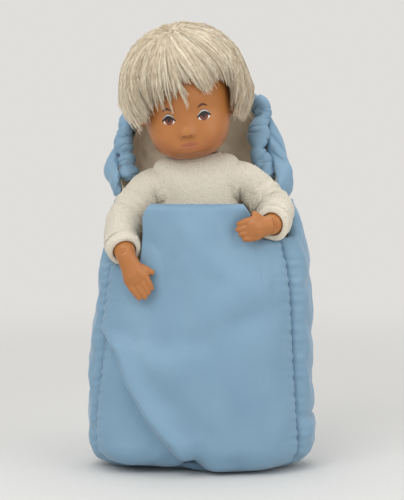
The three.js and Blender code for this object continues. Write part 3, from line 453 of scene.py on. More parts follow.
SKIN = vinyl("vinyl_limbs", "#b9783e", "#a96932")
SATEEN = sateen("sateen_cotton", "#85a6bc", "#7495af")
TERRY = knitted_terry("knitted_terry")
LINING = lining_cotton("crinkled_lining", "#f6ead6", "#d6c4a8")
ELASTIC = braided_elastic("braided_elastic")
WIRE = plated_wire("plated_wire")


# Sleeping bag, of the same sizes as its solids

BAG_WALL = 7
LINING_DEPTH = 7.9
BAG_TOP = 184
SLIT_RIGHT, SLIT_LEFT = 142, 158
SLIT_SOFT_RISE = 2.2  # the cloth at the left slit swells against the arm
FLAP_RIGHT, FLAP_LEFT = -38.5, 32
CORNER_X, CORNER_Y, CORNER_Z = 26, 16, 21
CORNER_SHARE = 0.3  # share of a panel's rows that go round the low corner
EVEN_UP_TO = 116  # below this height the wall's rows lie level
SEAM_RIGHT, SEAM_BACK = 20 * DEG, 25 * DEG
SEAM_LEFT_LOW, SEAM_LEFT_TOP = 27 * DEG, 41 * DEG
SEAM_GAP = 0.15 / 60  # as an angle: 0.15 mm at about 60 mm from the middle
SLIT_CORNER = 1.5 * DEG  # over this angle the flap's edge drops to the arm slit
LEFT_CROSS_SEAM = 37  # its height on the left gusset
ROUNDNESS = 2.6
GUSSET_RISE = (0.3, 0.75)  # share of its width where a gusset's top rises
# Height of each level of the wall, then its reach to the right, left, front and back
BAG_STATIONS = [
    [0, -75, 75, -41, 38],
    [44, -76, 74, -43, 39],
    [90, -73, 73, -43, 40],
    [137, -67, 71.5, -42, 40],
    [160, -64, 67, -40, 39],
    [184, -62, 63, -38, 38],
]
STATION_Z = np.linspace(0, 190, 381)
STATION_VALUES = through(BAG_STATIONS, STATION_Z)


def bag_reach(z):
    """The wall's right, left, front and back at a height."""
    return [np.interp(z, STATION_Z, STATION_VALUES[:, k]) for k in range(4)]


def oblong(angle, right, left, front, back):
    """A point of the rounded oblong with these four sides."""
    c, s = squarish(angle, ROUNDNESS)
    return np.where(c > 0, left, -right) * c, np.where(s > 0, back, -front) * s


def bag_point(angle, v, top, depth):
    """A point of the bag's wall, some depth in from its outer face; v runs up from the base."""
    angle, v, top, depth = np.broadcast_arrays(angle, v, top, depth)
    low = v <= CORNER_SHARE
    turn = np.clip(v / CORNER_SHARE, 0, 1) * math.pi / 2
    share = (v - CORNER_SHARE) / (1 - CORNER_SHARE)
    level = (EVEN_UP_TO - CORNER_Z) / (BAG_TOP - CORNER_Z)
    up = np.where(share < level, mix(CORNER_Z, BAG_TOP, share),
                  mix(EVEN_UP_TO, top, (share - level) / (1 - level)))
    right, left, front, back = bag_reach(np.where(low, CORNER_Z, up))
    in_x = np.where(low, CORNER_X - (CORNER_X - depth) * np.sin(turn), depth)
    in_y = np.where(low, CORNER_Y - (CORNER_Y - depth) * np.sin(turn), depth)
    x, y = oblong(angle, right + in_x, left - in_x, front + in_y, back - in_y)
    z = np.where(low, CORNER_Z - (CORNER_Z - depth) * np.cos(turn), up)
    return np.stack([x, y, z], axis=-1)


def angle_at(x, z):
    """How far round from the side the wall reaches this x."""
    reach = bag_reach(z)[0 if x < 0 else 1]
    return math.acos(min(1, abs(x / reach)) ** (ROUNDNESS / 2))


def edge_distances(points):
    """Millimetres along the cloth from each of its four edges: right, left, low, high."""
    steps = np.linalg.norm(np.diff(points, axis=1), axis=2)
    along = np.concatenate([np.zeros((len(points), 1)), np.cumsum(steps, axis=1)], axis=1)
    rises = np.linalg.norm(np.diff(points, axis=0), axis=2)
    up = np.concatenate([np.zeros((1, points.shape[1])), np.cumsum(rises, axis=0)], axis=0)
    return along, along[:, -1:] - along, up, up[-1:] - up


def plump(distance, radius, least=0.0):
    """Share of full thickness this far from a sewn or folded edge."""
    t = np.clip(distance / radius, 0, 1)
    return least + (1 - least) * np.sqrt(1 - (1 - t) ** 2)


def puckers(along, distance, pitch, reach, seed):
    """Small gathers that run in from a seam and fade."""
    rng = np.random.default_rng(seed)
    shift = rng.uniform(0, 2 * math.pi, 3)
    wave = (np.sin(2 * math.pi * along / pitch + shift[0] + 1.3 * np.sin(along / 17 + shift[1]))
            + 0.6 * np.sin(2 * math.pi * along / (pitch * 1.7) + shift[2]))
    return wave * np.exp(-distance / reach)


def to_line(x, z, line):
    """Signed distance to a broken line in the x, z plane: + to the right of its way down."""
    best = np.full(x.shape, 1e9)
    signed = np.zeros(x.shape)
    where = np.zeros(x.shape)
    run = 0
    for (x0, z0), (x1, z1) in zip(line, line[1:]):
        dx, dz = x1 - x0, z1 - z0
        length = math.hypot(dx, dz)
        t = np.clip(((x - x0) * dx + (z - z0) * dz) / length**2, 0, 1)
        away = np.hypot(x - x0 - t * dx, z - z0 - t * dz)
        side = np.sign((x - x0) * -dz + (z - z0) * dx)
        nearer = away < best
        best = np.where(nearer, away, best)
        signed = np.where(nearer, side * away, signed)
        where = np.where(nearer, run + t * length, where)
        run += length
    return signed, where / run


# Places read off the photograph, as millimetres across and up the front
FRONT_FOLD = [(-66, 95), (-56.3, 82), (-48.2, 59), (-38.2, 40), (-26, 23), (-14, 10), (-7, 2)]
SECOND_FOLD = [(-29, 27), (-18, 15), (-8, 5)]
LOBE_NOTCH = -6

# Cloth gathered by the stitches
SEAM_PITCH, SEAM_REACH = 6.2, 4.5  # how often the side seams gather the cloth, and how far in
SEAM_SINK = 1.5  # how deep they draw it in


def pressed(x, z):
    """Where the hands and the right arm press the padding flat, 0 to 1."""
    right = 1.5 * bump(x, -41, 17) * bump(z, 138, 25)
    left = 1.3 * bump(x, 31, 12) * bump(z, 163, 13)
    return np.minimum(1, right + left)


def fold_hold(x, z):
    """Where the front's folds and the hands hold its cloth, 0 to 1."""
    across, along = to_line(x, z, FRONT_FOLD)
    first = np.exp(-(((across + 1.5) / np.where(across < -1.5, 7, 12)) ** 2))
    first = first * smooth((FRONT_FOLD[0][1] + 6 - z) / 14)
    across, along = to_line(x, z, SECOND_FOLD)
    second = smooth(along * 6) * np.exp(-((across / 4) ** 2))
    return np.maximum(np.maximum(first, second), pressed(x, z))


def front_relief(x, z, right, left, high):
    """How far the padded front stands out from its plain wall, in millimetres."""
    high = np.maximum(BAG_TOP - z, 0)
    seam, side = np.minimum(right, left), np.where(right < left, right, left)
    flat = pressed(x, z)
    crown = (3.0 * smooth(seam / 26) + 1.1 * smooth(high / 20)) * (1 - flat) - 0.6 * flat
    across, along = to_line(x, z, FRONT_FOLD)
    live = smooth((FRONT_FOLD[0][1] + 6 - z) / 14) * smooth((1.02 - along) * 6)
    valley = -6.2 * np.exp(-np.abs(across + 1.5) / np.where(across < -1.5, 9.0, 1.7))
    roll = 3.6 * np.exp(-(((across - 6.5) / 6.0) ** 2))
    roll = roll + 2.8 * smooth(across / 6) * np.exp(-((across / 15) ** 2))
    sunk = -2.4 * smooth(-across / 6) * smooth((34 + across) / 22)
    rise = crown + live * (valley + roll + sunk)
    across, along = to_line(x, z, SECOND_FOLD)
    crease = smooth(along * 6) * smooth((1.05 - along) * 5) * np.exp(-np.abs(across) / 1.6)
    rise = rise - 1.8 * crease
    # a dent below the left wrist, with a small swelling beside it
    rise = rise - 1.4 * bump(x, 47, 3.5) * bump(z, 133, 12) + 0.6 * bump(x, 39, 6) * bump(z, 130, 14)
    rise = rise + 0.6 * ripples(x, z, 62, 3) * smooth(seam / 20) * (1 - flat)
    rise = rise + 0.28 * ripples(x, z * 0.6, 19, 4) * smooth(seam / 8)
    rise = rise - 6.0 * bump(x, LOBE_NOTCH, 5.0) * smooth((26 - z) / 20)
    rise = rise + 0.8 * puckers(z, side, SEAM_PITCH, SEAM_REACH, 11)
    rise = rise + 0.35 * puckers(x, high, 7.5, 4.0, 12) * smooth(high / 3)
    return rise * plump(seam, 4, 0.0) - SEAM_SINK * (1 - smooth(seam / 2.2))


def gusset_relief(x, z, right, left, high, seed, ledge):
    """The same for a side gusset; ledge is the height of a cross seam, where it has one."""
    seam = np.minimum(right, left)
    rise = 2.4 * smooth(seam / 12)
    rise = rise + 0.5 * ripples(right * 2.4, z, 46, seed) * smooth(seam / 9)
    rise = rise + 0.35 * ripples(right * 1.5, z, 16, seed + 1) * smooth(seam / 6)
    if ledge is not None:
        rise = rise - 2.6 * np.exp(-np.abs(z - ledge) / 1.6) + 1.6 * bump(z, ledge - 9, 6)
    rise = rise + 0.8 * puckers(z, seam, SEAM_PITCH, SEAM_REACH, seed + 2)
    rise = rise - 3.0 * (1 - smooth(high / 10)) * smooth((z - 165) / 15)
    return rise * plump(seam, 4, 0.0) - SEAM_SINK * (1 - smooth(seam / 2.2))


def back_relief(x, z, right, left, high):
    """The same for the back, which sinks in at the top under the hood's seam."""
    seam = np.minimum(right, left)
    rise = 2.2 * smooth(seam / 24) + 0.9 * ripples(x, z, 55, 21) * smooth(seam / 16)
    rise = rise + 0.3 * ripples(x, z, 18, 22) * smooth(seam / 8)
    rise = rise + 0.7 * puckers(z, seam, 6.5, 5.0, 23)
    rise = rise - 4.5 * (1 - smooth(high / 13))
    return rise * plump(seam, 6, 0.0) - 1.2 * (1 - smooth(seam / 4))


SIM_FRAMES = 18
SIM_ROWS, SIM_COLUMNS = 64, 56  # the simulated grid is coarser than the panel's
EVENING_PASSES = 3  # the wadding evens out the smallest wrinkles


def simulated(outer, inner, pinned, swell):
    """How the shell of a padded panel moves when it is filled: cloth pinned at its seams, cut a
    little too wide and blown up by the wadding. Gives each outer grid point's shift in mm."""
    rows, columns = outer.shape[:2]
    mesh = bpy.data.meshes.new("wadding")
    points = flat_list(outer, inner)
    mesh.from_pydata((points * MM).tolist(), [], shell_faces(columns, rows))
    outwards(mesh)
    made = in_scene("wadding", mesh)
    held = made.vertex_groups.new(name="held")
    weights = np.concatenate([pinned.ravel(), np.ones(pinned.size)])
    for index, weight in enumerate(weights):
        held.add([index], float(weight), "REPLACE")
    cloth = made.modifiers.new("cloth", "CLOTH")
    cloth.settings.quality = 5
    cloth.settings.mass = 0.15
    cloth.settings.tension_stiffness = cloth.settings.compression_stiffness = 12
    cloth.settings.bending_stiffness = 0.25
    cloth.settings.shrink_min = -0.02
    cloth.settings.vertex_group_mass = "held"
    cloth.settings.use_pressure = True
    cloth.settings.uniform_pressure_force = 4
    cloth.settings.effector_weights.gravity = 0
    cloth.collision_settings.use_self_collision = False
    cloth.collision_settings.use_collision = False
    cloth.point_cache.frame_end = SIM_FRAMES
    for number in range(1, SIM_FRAMES + 1):
        bpy.context.scene.frame_set(number)
    graph = bpy.context.evaluated_depsgraph_get()
    swollen = made.evaluated_get(graph).to_mesh()
    found = np.empty(len(points) * 3)
    swollen.vertices.foreach_get("co", found)
    made.evaluated_get(graph).to_mesh_clear()
    bpy.data.objects.remove(made)
    bpy.context.scene.frame_set(1)
    shift = found.reshape(-1, 3)[: rows * columns] / MM - outer.reshape(-1, 3)
    far = np.linalg.norm(shift, axis=1, keepdims=True)
    shift *= np.minimum(1, swell / np.maximum(far, 1e-6))
    shift = shift.reshape(rows, columns, 3)
    for _ in range(EVENING_PASSES):
        for axis in (0, 1):
            shift = (np.roll(shift, 1, axis) + 2 * shift + np.roll(shift, -1, axis)) / 4
    return shift


def finer(coarse, rows, columns):
    """A coarse grid's values, smoothly filled in to a finer grid."""

    def along(values, count):
        at = np.arange(len(values))
        stations = np.column_stack([at, values.reshape(len(values), -1)])
        found = through(stations, np.linspace(0, len(values) - 1, count))
        return found.reshape(count, *values.shape[1:])

    tall = along(coarse, rows)
    return np.swapaxes(along(np.swapaxes(tall, 0, 1), columns), 0, 1)


def quilted(name, node_name, angles, tops, rows, relief, swell, round_top=None, lift=None,
            lean=None, hold=None):
    """A padded panel of the bag: a crowned outer face and a flat inner one, pinched at its seams
    and folded over where round_top says that its top edge is free, 0 to 1. The simulated padding
    moves it at most swell mm, and not where hold is 1. lift raises it off the floor, and lean
    slants its columns."""
    v = np.concatenate([np.linspace(0, CORNER_SHARE, rows // 4, endpoint=False),
                        np.linspace(CORNER_SHARE, 1, rows - rows // 4)])
    angle, height = np.meshgrid(angles, v)
    if lean is not None:
        angle = lean(angle, height)
    top = np.broadcast_to(tops, angle.shape)
    plain = bag_point(angle, height, top, 0.0)
    right, left, low, high = edge_distances(plain)
    x, z = plain[..., 0], plain[..., 2]
    rise = relief(x, z, right, left, high) * smooth(z / 9)
    thin = plump(np.minimum(right, left), 7, 0.45)
    if round_top is not None:
        thin = np.minimum(thin, plump(high, 4.5, 0.04) * round_top + (1 - round_top))
    raised = 0 if lift is None else lift(x, z)
    outer = -rise + BAG_WALL / 2 * (1 - thin) + raised
    inner = BAG_WALL - BAG_WALL / 2 * (1 - thin)
    faces = shell_faces(len(angles), rows)
    front = bag_point(angle, height, top, outer)
    behind = bag_point(angle, height, top, np.maximum(inner, outer + 0.4))
    columns = min(SIM_COLUMNS, len(angles))
    grid = np.ix_(np.linspace(0, rows - 1, SIM_ROWS).astype(int),
                  np.unique(np.linspace(0, len(angles) - 1, columns).astype(int)))
    held = 0 if hold is None else hold(x, z)
    edge = np.minimum(np.minimum(right, left), np.minimum(low, high))
    pinned = np.maximum(1 - smooth(edge / 5), held)
    shift = simulated(front[grid], behind[grid], pinned[grid], swell)
    free = smooth(np.minimum(right, left) / 4) * smooth(low / 6) * smooth(high / 3) * (1 - held)
    front = front + finer(shift, rows, len(angles)) * free[..., None]
    made = piece(name, flat_list(front, behind), faces, SATEEN, "bag")
    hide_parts(node_name)


def lobes(x, z):
    """The front's low edge is lifted beside the notch, more on the doll's right."""
    low = smooth((16 - z) / 16)
    return low * (3.4 * smooth((LOBE_NOTCH + 4 - x) / 8) + 6.5 * bump(x, LOBE_NOTCH, 5.5))


def make_bag():
    """The bag's four padded walls, its floor and its lining. Angles run round from the doll's
    left over the back; the left seam leans, so it is a function of the height."""
    edge = SLIT_CORNER

    def seam_left(v):
        return -mix(SEAM_LEFT_LOW, SEAM_LEFT_TOP, v)

    front0, front1 = math.pi + SEAM_RIGHT + SEAM_GAP, 2 * math.pi + seam_left(0.5) - SEAM_GAP
    flap0, flap1 = math.pi + angle_at(FLAP_RIGHT, BAG_TOP), 2 * math.pi - angle_at(FLAP_LEFT, BAG_TOP)
    angles = np.unique(np.concatenate([
        np.linspace(front0, flap0 - edge, 22), np.linspace(flap0 - edge, flap0 + 4 * edge, 16),
        np.linspace(flap0 + 4 * edge, flap1 - 4 * edge, 84),
        np.linspace(flap1 - 4 * edge, flap1 + edge, 16), np.linspace(flap1 + edge, front1, 22),
    ]))
    near = np.minimum(angles - flap0, flap1 - angles) / (4 * edge)
    flap = BAG_TOP - 6 * (1 - smooth(near + 0.25))
    step_right = smooth((angles - (flap0 - edge)) / edge)
    step_left = smooth((flap1 + edge - angles) / edge)
    tops = np.where(angles < (flap0 + flap1) / 2, mix(SLIT_RIGHT, flap, step_right),
                    mix(SLIT_LEFT + SLIT_SOFT_RISE, flap, step_left))
    start = flap1 + edge

    def front_lean(angle, v):
        share = smooth((angle - start) / (front1 - start))
        return angle + share * (2 * math.pi + seam_left(v) - SEAM_GAP - front1)

    quilted("front_quilt", "bag_front_panel", angles, tops, 170, front_relief, swell=3.2,
            round_top=1, lift=lobes, lean=front_lean, hold=fold_hold)
    back = np.linspace(SEAM_BACK, math.pi - SEAM_BACK, 110)
    quilted("back_quilt", "bag_back_panel", back, BAG_TOP, 120, back_relief, swell=2.6)
    # pieces, where each gusset begins at a height and ends, its arm slit and its cross seam
    spans = [
        ("left_gusset_quilt", "bag_left_gusset", lambda v: seam_left(v) + SEAM_GAP,
         SEAM_BACK - 2 * SEAM_GAP, SLIT_LEFT + SLIT_SOFT_RISE, LEFT_CROSS_SEAM),
        ("right_gusset_quilt", "bag_right_gusset", lambda v: front0 - 2 * SEAM_GAP + 0 * v,
         math.pi - SEAM_BACK + 2 * SEAM_GAP, SLIT_RIGHT, None),
    ]
    share = np.linspace(0, 1, 54)
    rise_start, rise_end = GUSSET_RISE
    for seed, (name, node_name, begin, end, slit, ledge) in enumerate(spans):
        tops = mix(slit, BAG_TOP, smooth((share - rise_start) / (rise_end - rise_start)))
        quilted(name, node_name, share, tops, 130,
                lambda *at, seed=31 + 7 * seed, ledge=ledge: gusset_relief(*at, seed, ledge),
                swell=1.2, round_top=1 - smooth((share - 0.2) / 0.3),
                lean=lambda share, v, begin=begin, end=end: mix(begin(v), end, share))
    make_base()
    make_bag_lining(flap0, flap1)


def make_base():
    """The quilted floor of the bag: an oblong pad with a rolled rim."""
    around, rings = 120, 14
    rim = bag_point(once_round(around), 0.0, BAG_TOP, 0.0)
    points = []
    for low in (True, False):
        for ring in range(rings):
            share = (ring + 1) / rings
            edge = plump(np.array((1 - share) * 30), 3.0)
            row = rim * share * 0.99
            row[:, 2] = 0.6 * (1 - edge) if low else BAG_WALL - 1.2 * (1 - edge)
            if low:
                # lifted under the front's right lobe
                corner = smooth(-row[:, 1] / 20) * smooth(-row[:, 0] / 20)
                row[:, 2] += 5.0 * smooth((share - 0.55) / 0.4) * corner
            points.append(row)
    half = rings * around
    faces = grid_faces(around, rings, True)
    faces += [f[::-1] for f in grid_faces(around, rings, True, half)]
    for i in range(half - around, half):
        k = i + 1 if i + 1 < half else half - around
        faces.append([i, k, k + half, i + half])
    faces += [list(range(around)), list(range(half, half + around))]
    made = piece("base_quilt", np.concatenate(points), faces, SATEEN, "bag")
    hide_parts("bag_base")


def make_bag_lining(flap0, flap1):
    """The bag's lining: a thin crinkled sack that hangs just inside the quilted wall."""
    around, up, floor_rings = 150, 90, 14
    angle = once_round(around)
    slit = np.where((angle > math.pi / 2) & (angle < 1.5 * math.pi), SLIT_RIGHT, SLIT_LEFT)
    top = mix(slit, BAG_TOP, smooth((np.sin(angle) + 0.02) / 0.34)) - 1
    top = np.where((angle > flap0) & (angle < flap1), BAG_TOP - 5, top)
    a, h = np.meshgrid(angle, np.linspace(0, 1, up))
    crinkle = 0.5 * (1 + ripples(a * 60, h * 190, 17, 41)) * 0.5
    points = []
    for depth in (LINING_DEPTH + 0.25, LINING_DEPTH + 0.75):
        wall = bag_point(a, h, np.broadcast_to(top, a.shape), depth + np.clip(crinkle, 0, 1.2))
        floor = [wall[0] * np.array([s, s, 1]) for s in np.linspace(0.04, 0.96, floor_rings)]
        points.append(flat_list(np.array(floor), wall))
    faces = shell_faces(around, up + floor_rings, True)
    made = piece("bag_lining_cloth", np.concatenate(points), faces, LINING, "bag")
    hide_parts("bag_lining")


# Hood: swells from the back panel's top seam up to its gathered edge

HOOD_WALL = 5
HOOD_BULGE = 12
HOOD_CLOTH = 55  # of cloth from the seam up to the gathered edge
HOOD_ROUND = 250  # along that edge, a little more than its length
HOOD_SEAM_GAP = 0.3
CASING_RADIUS, CASING_EASE, CASING_BORE = 5.2, 1.7, 1.7
HOOD_END = 14 * DEG
HOOD_EDGE = [
    (-49, 17, 196), (-52.5, 20, 212), (-54, 29, 229), (-44, 45, 242), (-10, 57, 250),
    (26, 52, 252), (42, 38, 246), (40, 27, 230), (38.5, 21, 217), (42, 18, 206), (47, 17, 196),
]


def hood_face(columns, rows, depth_at):
    """Points of the hood's wall. depth_at(u, v, across, up) gives how far in from its outer
    face each lies; across runs along the edge and up from the seam, in millimetres."""
    edge = rail(HOOD_EDGE, columns)
    along = unit(np.gradient(edge, axis=0))
    length = length_of(edge)
    u = np.linspace(0, 1, columns)
    angle = mix(math.pi - HOOD_END, HOOD_END, u)
    outer_seam = bag_point(angle, 1.0, BAG_TOP, 0.0)
    away = outer_seam - edge
    away = unit(away - along * (away * along).sum(axis=1, keepdims=True))
    out = unit(np.cross(along, away))
    points = np.zeros((rows, columns, 3))
    for j in range(rows):
        v = j / (rows - 1)
        depth = depth_at(u, v, u * length, v * HOOD_CLOTH)
        seam = bag_point(angle, 1.0, BAG_TOP, np.clip(depth, -3, 12))
        seam[:, 2] += HOOD_SEAM_GAP
        rim = edge + away * (CASING_RADIUS + CASING_EASE) + out * (HOOD_WALL / 2 - depth)[:, None]
        # the hood hangs with less slack at its right end
        slack = HOOD_BULGE * (1 - 0.55 * np.exp(-((u / 0.12) ** 2)))[:, None]
        points[j] = mix(seam, rim, v) + out * slack * math.sin(math.pi * v)
    return points


def gathers(across, pitch, seed):
    """Uneven ridges side by side, as cloth bunches on an elastic: about -1 to 1."""
    rng = np.random.default_rng(seed)
    warp = across + 2.6 * np.sin(across / 9 + rng.uniform(0, 6))
    warp = warp + 1.4 * np.sin(across / 4.3 + rng.uniform(0, 6))
    wave = np.sin(2 * math.pi * warp / pitch)
    return np.sign(wave) * np.abs(wave) ** 0.75 * (0.72 + 0.28 * np.sin(across / 7.7 + seed))


def creases(along, around, length, spacing, seed, turns=2 * math.pi):
    """Sharp irregular pinches across a gathered edge, 0 to about 1 deep; each crosses only a
    part of the way round."""
    rng = np.random.default_rng(seed)
    total = 0.0
    at = 0.0
    while at < length:
        at += spacing * rng.uniform(0.4, 1.7)
        skew, middle = rng.normal(0, 1.6), rng.uniform(0, turns)
        deep, narrow, spread = rng.uniform(0.35, 1.0), rng.uniform(0.5, 1.5), rng.uniform(0.6, 1.6)
        off = (around - middle + turns / 2) % turns - turns / 2
        line = np.abs(along - at - skew * off - 0.5 * np.sin(3 * off + middle))
        total = total + deep * np.exp(-line / narrow) * np.exp(-((off / spread) ** 2))
    return total


def make_hood():
    """The hood's padded outer wall, its crinkled lining and the gathered casing."""
    columns, rows = 420, 70
    twice = 2 * HOOD_CLOTH  # the pinches' middles lie over twice the cloth, so that some miss it

    def outside(u, v, across, up):
        level = np.full_like(across, up)
        drift = 3.5 * np.sin(level / 14 + across / 31)
        fold = gathers(across + drift, 13, 51) * smooth((v - 0.3) / 0.7)
        tuck = gathers(across - drift + 3, 24, 52) * math.sin(math.pi * min(1, v * 1.15)) ** 0.7
        soft = ripples(across, level, 26, 53)
        pinch = creases(across, level, HOOD_ROUND, 5.5, 54, twice) * smooth((v - 0.35) / 0.5)
        pinch = pinch + 0.8 * creases(across, level + 20, HOOD_ROUND, 9, 55, twice)
        ends = smooth(u / 0.02) * smooth((1 - u) / 0.02)
        seam = smooth(v * 9)
        rise = (1.0 * fold + 1.3 * tuck + 1.0 * soft - 1.6 * pinch + 2.2) * seam
        return -rise * ends + 1.2 * (1 - seam) + (1 - ends) * 2.0

    def inside(u, v, across, up):
        return np.full_like(u, HOOD_WALL - 0.8) + 0.3 * gathers(across, 9.5, 51) * v

    points = flat_list(hood_face(columns, rows, outside), hood_face(columns, rows, inside))
    made = piece("hood_quilt", points, shell_faces(columns, rows), SATEEN, "bag")
    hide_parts("hood")

    def crinkled(extra):
        """The depth of one face of the lining, extra millimetres further in."""

        def depth(u, v, across, up):
            level = np.full_like(across, up)
            crease = gathers(across, 8.0, 61) * v + ripples(across, level, 13, 62)
            crease = crease + 1.6 * creases(across, level, HOOD_ROUND, 6, 63, twice)
            return HOOD_WALL + 0.7 + extra + 0.7 * (crease + 1.6) * smooth(v * 6)

        return depth

    columns, rows = 220, 50
    points = flat_list(*[hood_face(columns, rows, crinkled(extra)) for extra in (0, 0.5)])
    made = piece("hood_lining_cloth", points, shell_faces(columns, rows), LINING, "bag")
    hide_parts("hood_lining")
    make_casing()


def rings_along(line, count):
    """Ring frames along a line: middles, sideways and upward directions, and the share along."""
    middle = rail(line, count)
    tangent = unit(np.gradient(middle, axis=0))
    side = unit(np.cross(tangent[0], (0, 0, 1)))
    sides = []
    for here in tangent:
        side = unit(side - here * side.dot(here))
        sides.append(side)
    sides = np.array(sides)
    return middle, sides, np.cross(sides, tangent), np.linspace(0, 1, count)


def tube_points(frames, radius):
    """Points round a line; radius is an array of ring by angle."""
    middle, side, up, _ = frames
    angle = once_round(radius.shape[1])[None, :, None]
    spokes = side[:, None] * np.cos(angle) + up[:, None] * np.sin(angle)
    return middle[:, None] + spokes * radius[..., None]


def closed_tube(inner, outer):
    """Points and faces of a hollow tube whose two walls join at both ends."""
    rings, count = outer.shape[:2]
    return flat_list(outer, inner), shell_faces(count, rings, True)


def make_casing():
    """The gathered tube round the hood's edge: short ruffles packed along the elastic."""
    frames = rings_along(HOOD_EDGE, 760)
    length = length_of(frames[0])
    along = frames[3][:, None] * length
    angle = once_round(48)[None, :]
    puff = 0.5 + 0.5 * np.cos(2 * math.pi * (along + 7 * np.sin(along / 23)) / 31)
    soft = ripples(along + angle * 2, angle * 8, 19, 72)
    pinch = creases(along, angle, length, 2.6, 73) + creases(along, angle, length, 7, 74)
    ends = smooth(along / 4) * smooth((length - along) / 4)
    # drawn in tight near both ends
    knots = bump(along, 10, 1.6) + bump(along, 19, 1.4) + 0.6 * bump(along, length - 24, 1.5)
    radius = CASING_RADIUS + 1.0 + 1.1 * puff + 0.9 * soft - 1.7 * pinch - 1.6 * knots
    # thinner behind the head, which leans back against it
    behind = smooth((frames[3] - 0.2) / 0.1) * smooth((0.8 - frames[3]) / 0.1)
    radius = np.maximum(radius - 1.2 * behind[:, None], 2.8) * mix(0.62, 1, ends)
    points, faces = closed_tube(tube_points(frames, np.full(radius.shape, CASING_BORE + 0.2)),
                                tube_points(frames, np.maximum(radius, CASING_BORE + 0.8)))
    made = piece("hood_casing_ruffle", points, faces, SATEEN, "bag")
    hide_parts("hood_casing")


# Doll: its own frame starts at the middle of the shoulder line

DOLL = Matrix.Translation((-3, -2, 193.5)) @ Matrix.Rotation(-4.3 * DEG, 4, "Y")
NECK = Vector((0, 5, 17))  # the middle of the neck's ball
HEAD = (Matrix.Translation(DOLL @ NECK) @ Matrix.Rotation(-8.5 * DEG, 4, "Y")
        @ Matrix.Rotation(10 * DEG, 4, "X") @ Matrix.Rotation(-4 * DEG, 4, "Z"))
TORSO_ROUNDNESS = 2.3
# Height of each level of the torso, then its half width, front and back
TORSO_STATIONS = [
    [-93, 6.5, -8, 8], [-84, 17, -14, 15], [-68, 23, -19, 18], [-45, 25.5, -21, 17],
    [-20, 25, -18, 16], [0, 25, -16, 16], [10, 23, -14, 16], [14.5, 17.5, -10, 16.3],
    [18, 9.5, -4, 15.8],
]
ARM_RADII = [10, 10.2, 10, 9.2, 8.2, 7]  # at even shares of the arm's line
# From the body over shoulder and elbow to the wrist
ARM_LINES = {
    "right": [(-24.3, 0, 0), (-31.5, 0, 0), (-42, -3, -8), (-50, -10, -19), (-53.5, -24, -31),
              (-51, -39, -39.5)],
    "left": [(24.3, 0, 0), (31.5, 0, 0), (42, -3, -8), (50, -9, -18), (51, -24, -25),
             (46.5, -38, -27)],
}
CUFF_START = 0.84  # share of the arm's line
CUFF_WIDTH = 7
SUIT_EASE, SUIT_CLOTH = 0.5, 2.8
SUIT_LOW, SUIT_HIGH = -93, 21.5
COLLAR_WIDE, COLLAR_DEEP, COLLAR_Y = 16.6, 13.2, 3.4
NECK_RIBS, COLLAR_RIBS, CUFF_RIBS = 62, 46, 40
PILE = 0.13  # millimetres the knit's loops stand up and down
SLEEVE_START = 20.5  # from the middle of the shoulder line
SIDES = {"right": -1, "left": 1}


def placed(matrix, points):
    """Points in millimetres moved by a matrix."""
    turned = np.array(matrix.to_3x3()) @ np.asarray(points, float).reshape(-1, 3).T
    return turned.T + np.array(matrix.translation)


WRIST_PASSES = 70


def softened(node_name, name, voxel, passes, finish, body, melt_at=None):
    """A CAD solid with its facets melted to a smooth moulded or knitted skin, and melted further
    within 10 mm of melt_at."""
    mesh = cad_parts[node_name].data.copy()
    work = bmesh.new()
    work.from_mesh(mesh)
    bmesh.ops.remove_doubles(work, verts=work.verts, dist=1e-6)
    work.to_mesh(mesh)
    work.free()
    made = in_scene(name, mesh)
    remesh = made.modifiers.new("even", "REMESH")
    remesh.mode, remesh.voxel_size = "VOXEL", voxel * MM
    melt = made.modifiers.new("melt", "SMOOTH")
    melt.factor, melt.iterations = 0.5, passes
    mesh = evaluated(made)
    if melt_at is not None:
        made = in_scene(name, mesh)
        near = made.vertex_groups.new(name="near")
        for vertex in mesh.vertices:
            away = (vertex.co / MM - melt_at).length
            near.add([vertex.index], float(1 - smooth((away - 5) / 5)), "REPLACE")
        melt = made.modifiers.new("melt", "SMOOTH")
        melt.factor, melt.iterations, melt.vertex_group = 0.5, WRIST_PASSES, "near"
        mesh = evaluated(made)
    mesh.name = name
    made = dress(name, mesh, finish, body)
    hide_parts(node_name)
    return made


def body_ring(level, half, front, back, count):
    """A level ring with this half width, front and back."""
    c, s = squarish(once_round(count), TORSO_ROUNDNESS)
    return np.stack([half * c, np.where(s > 0, back, -front) * s, np.full(count, level)], axis=1)


# The suit's shoulders, above the torso's: height, half width, front, back
SUIT_SHOULDERS = [[-14, 28.6, -20.8, 19.6], [-4, 28.9, -19.9, 20], [5, 29.4, -18.9, 20.6],
                  [12, 29.6, -17.4, 21.2], [16.5, 28.4, -15.8, 21.4], [19.5, 25.4, -13.9, 20.4],
                  [21.2, 20.6, -12.0, 18.2], [23, 15, -10, 15]]


def suit_ring(level, grow, count):
    """One ring of the suit's body: the torso's form, then the slope of gathered shoulders."""
    bunch = 6.6 * smooth((level - 2) / 14)
    half, front, back = through(TORSO_STATIONS, level)[0]
    plain = body_ring(level, half + grow + bunch, front - grow, back + grow + bunch * 0.3, count)
    half, front, back = through(SUIT_SHOULDERS, level)[0]
    inward = SUIT_EASE + SUIT_CLOTH - grow
    sloped = body_ring(level, half - inward, front + inward, back - inward, count)
    return mix(plain, sloped, float(smooth((level + 14) / 16)))


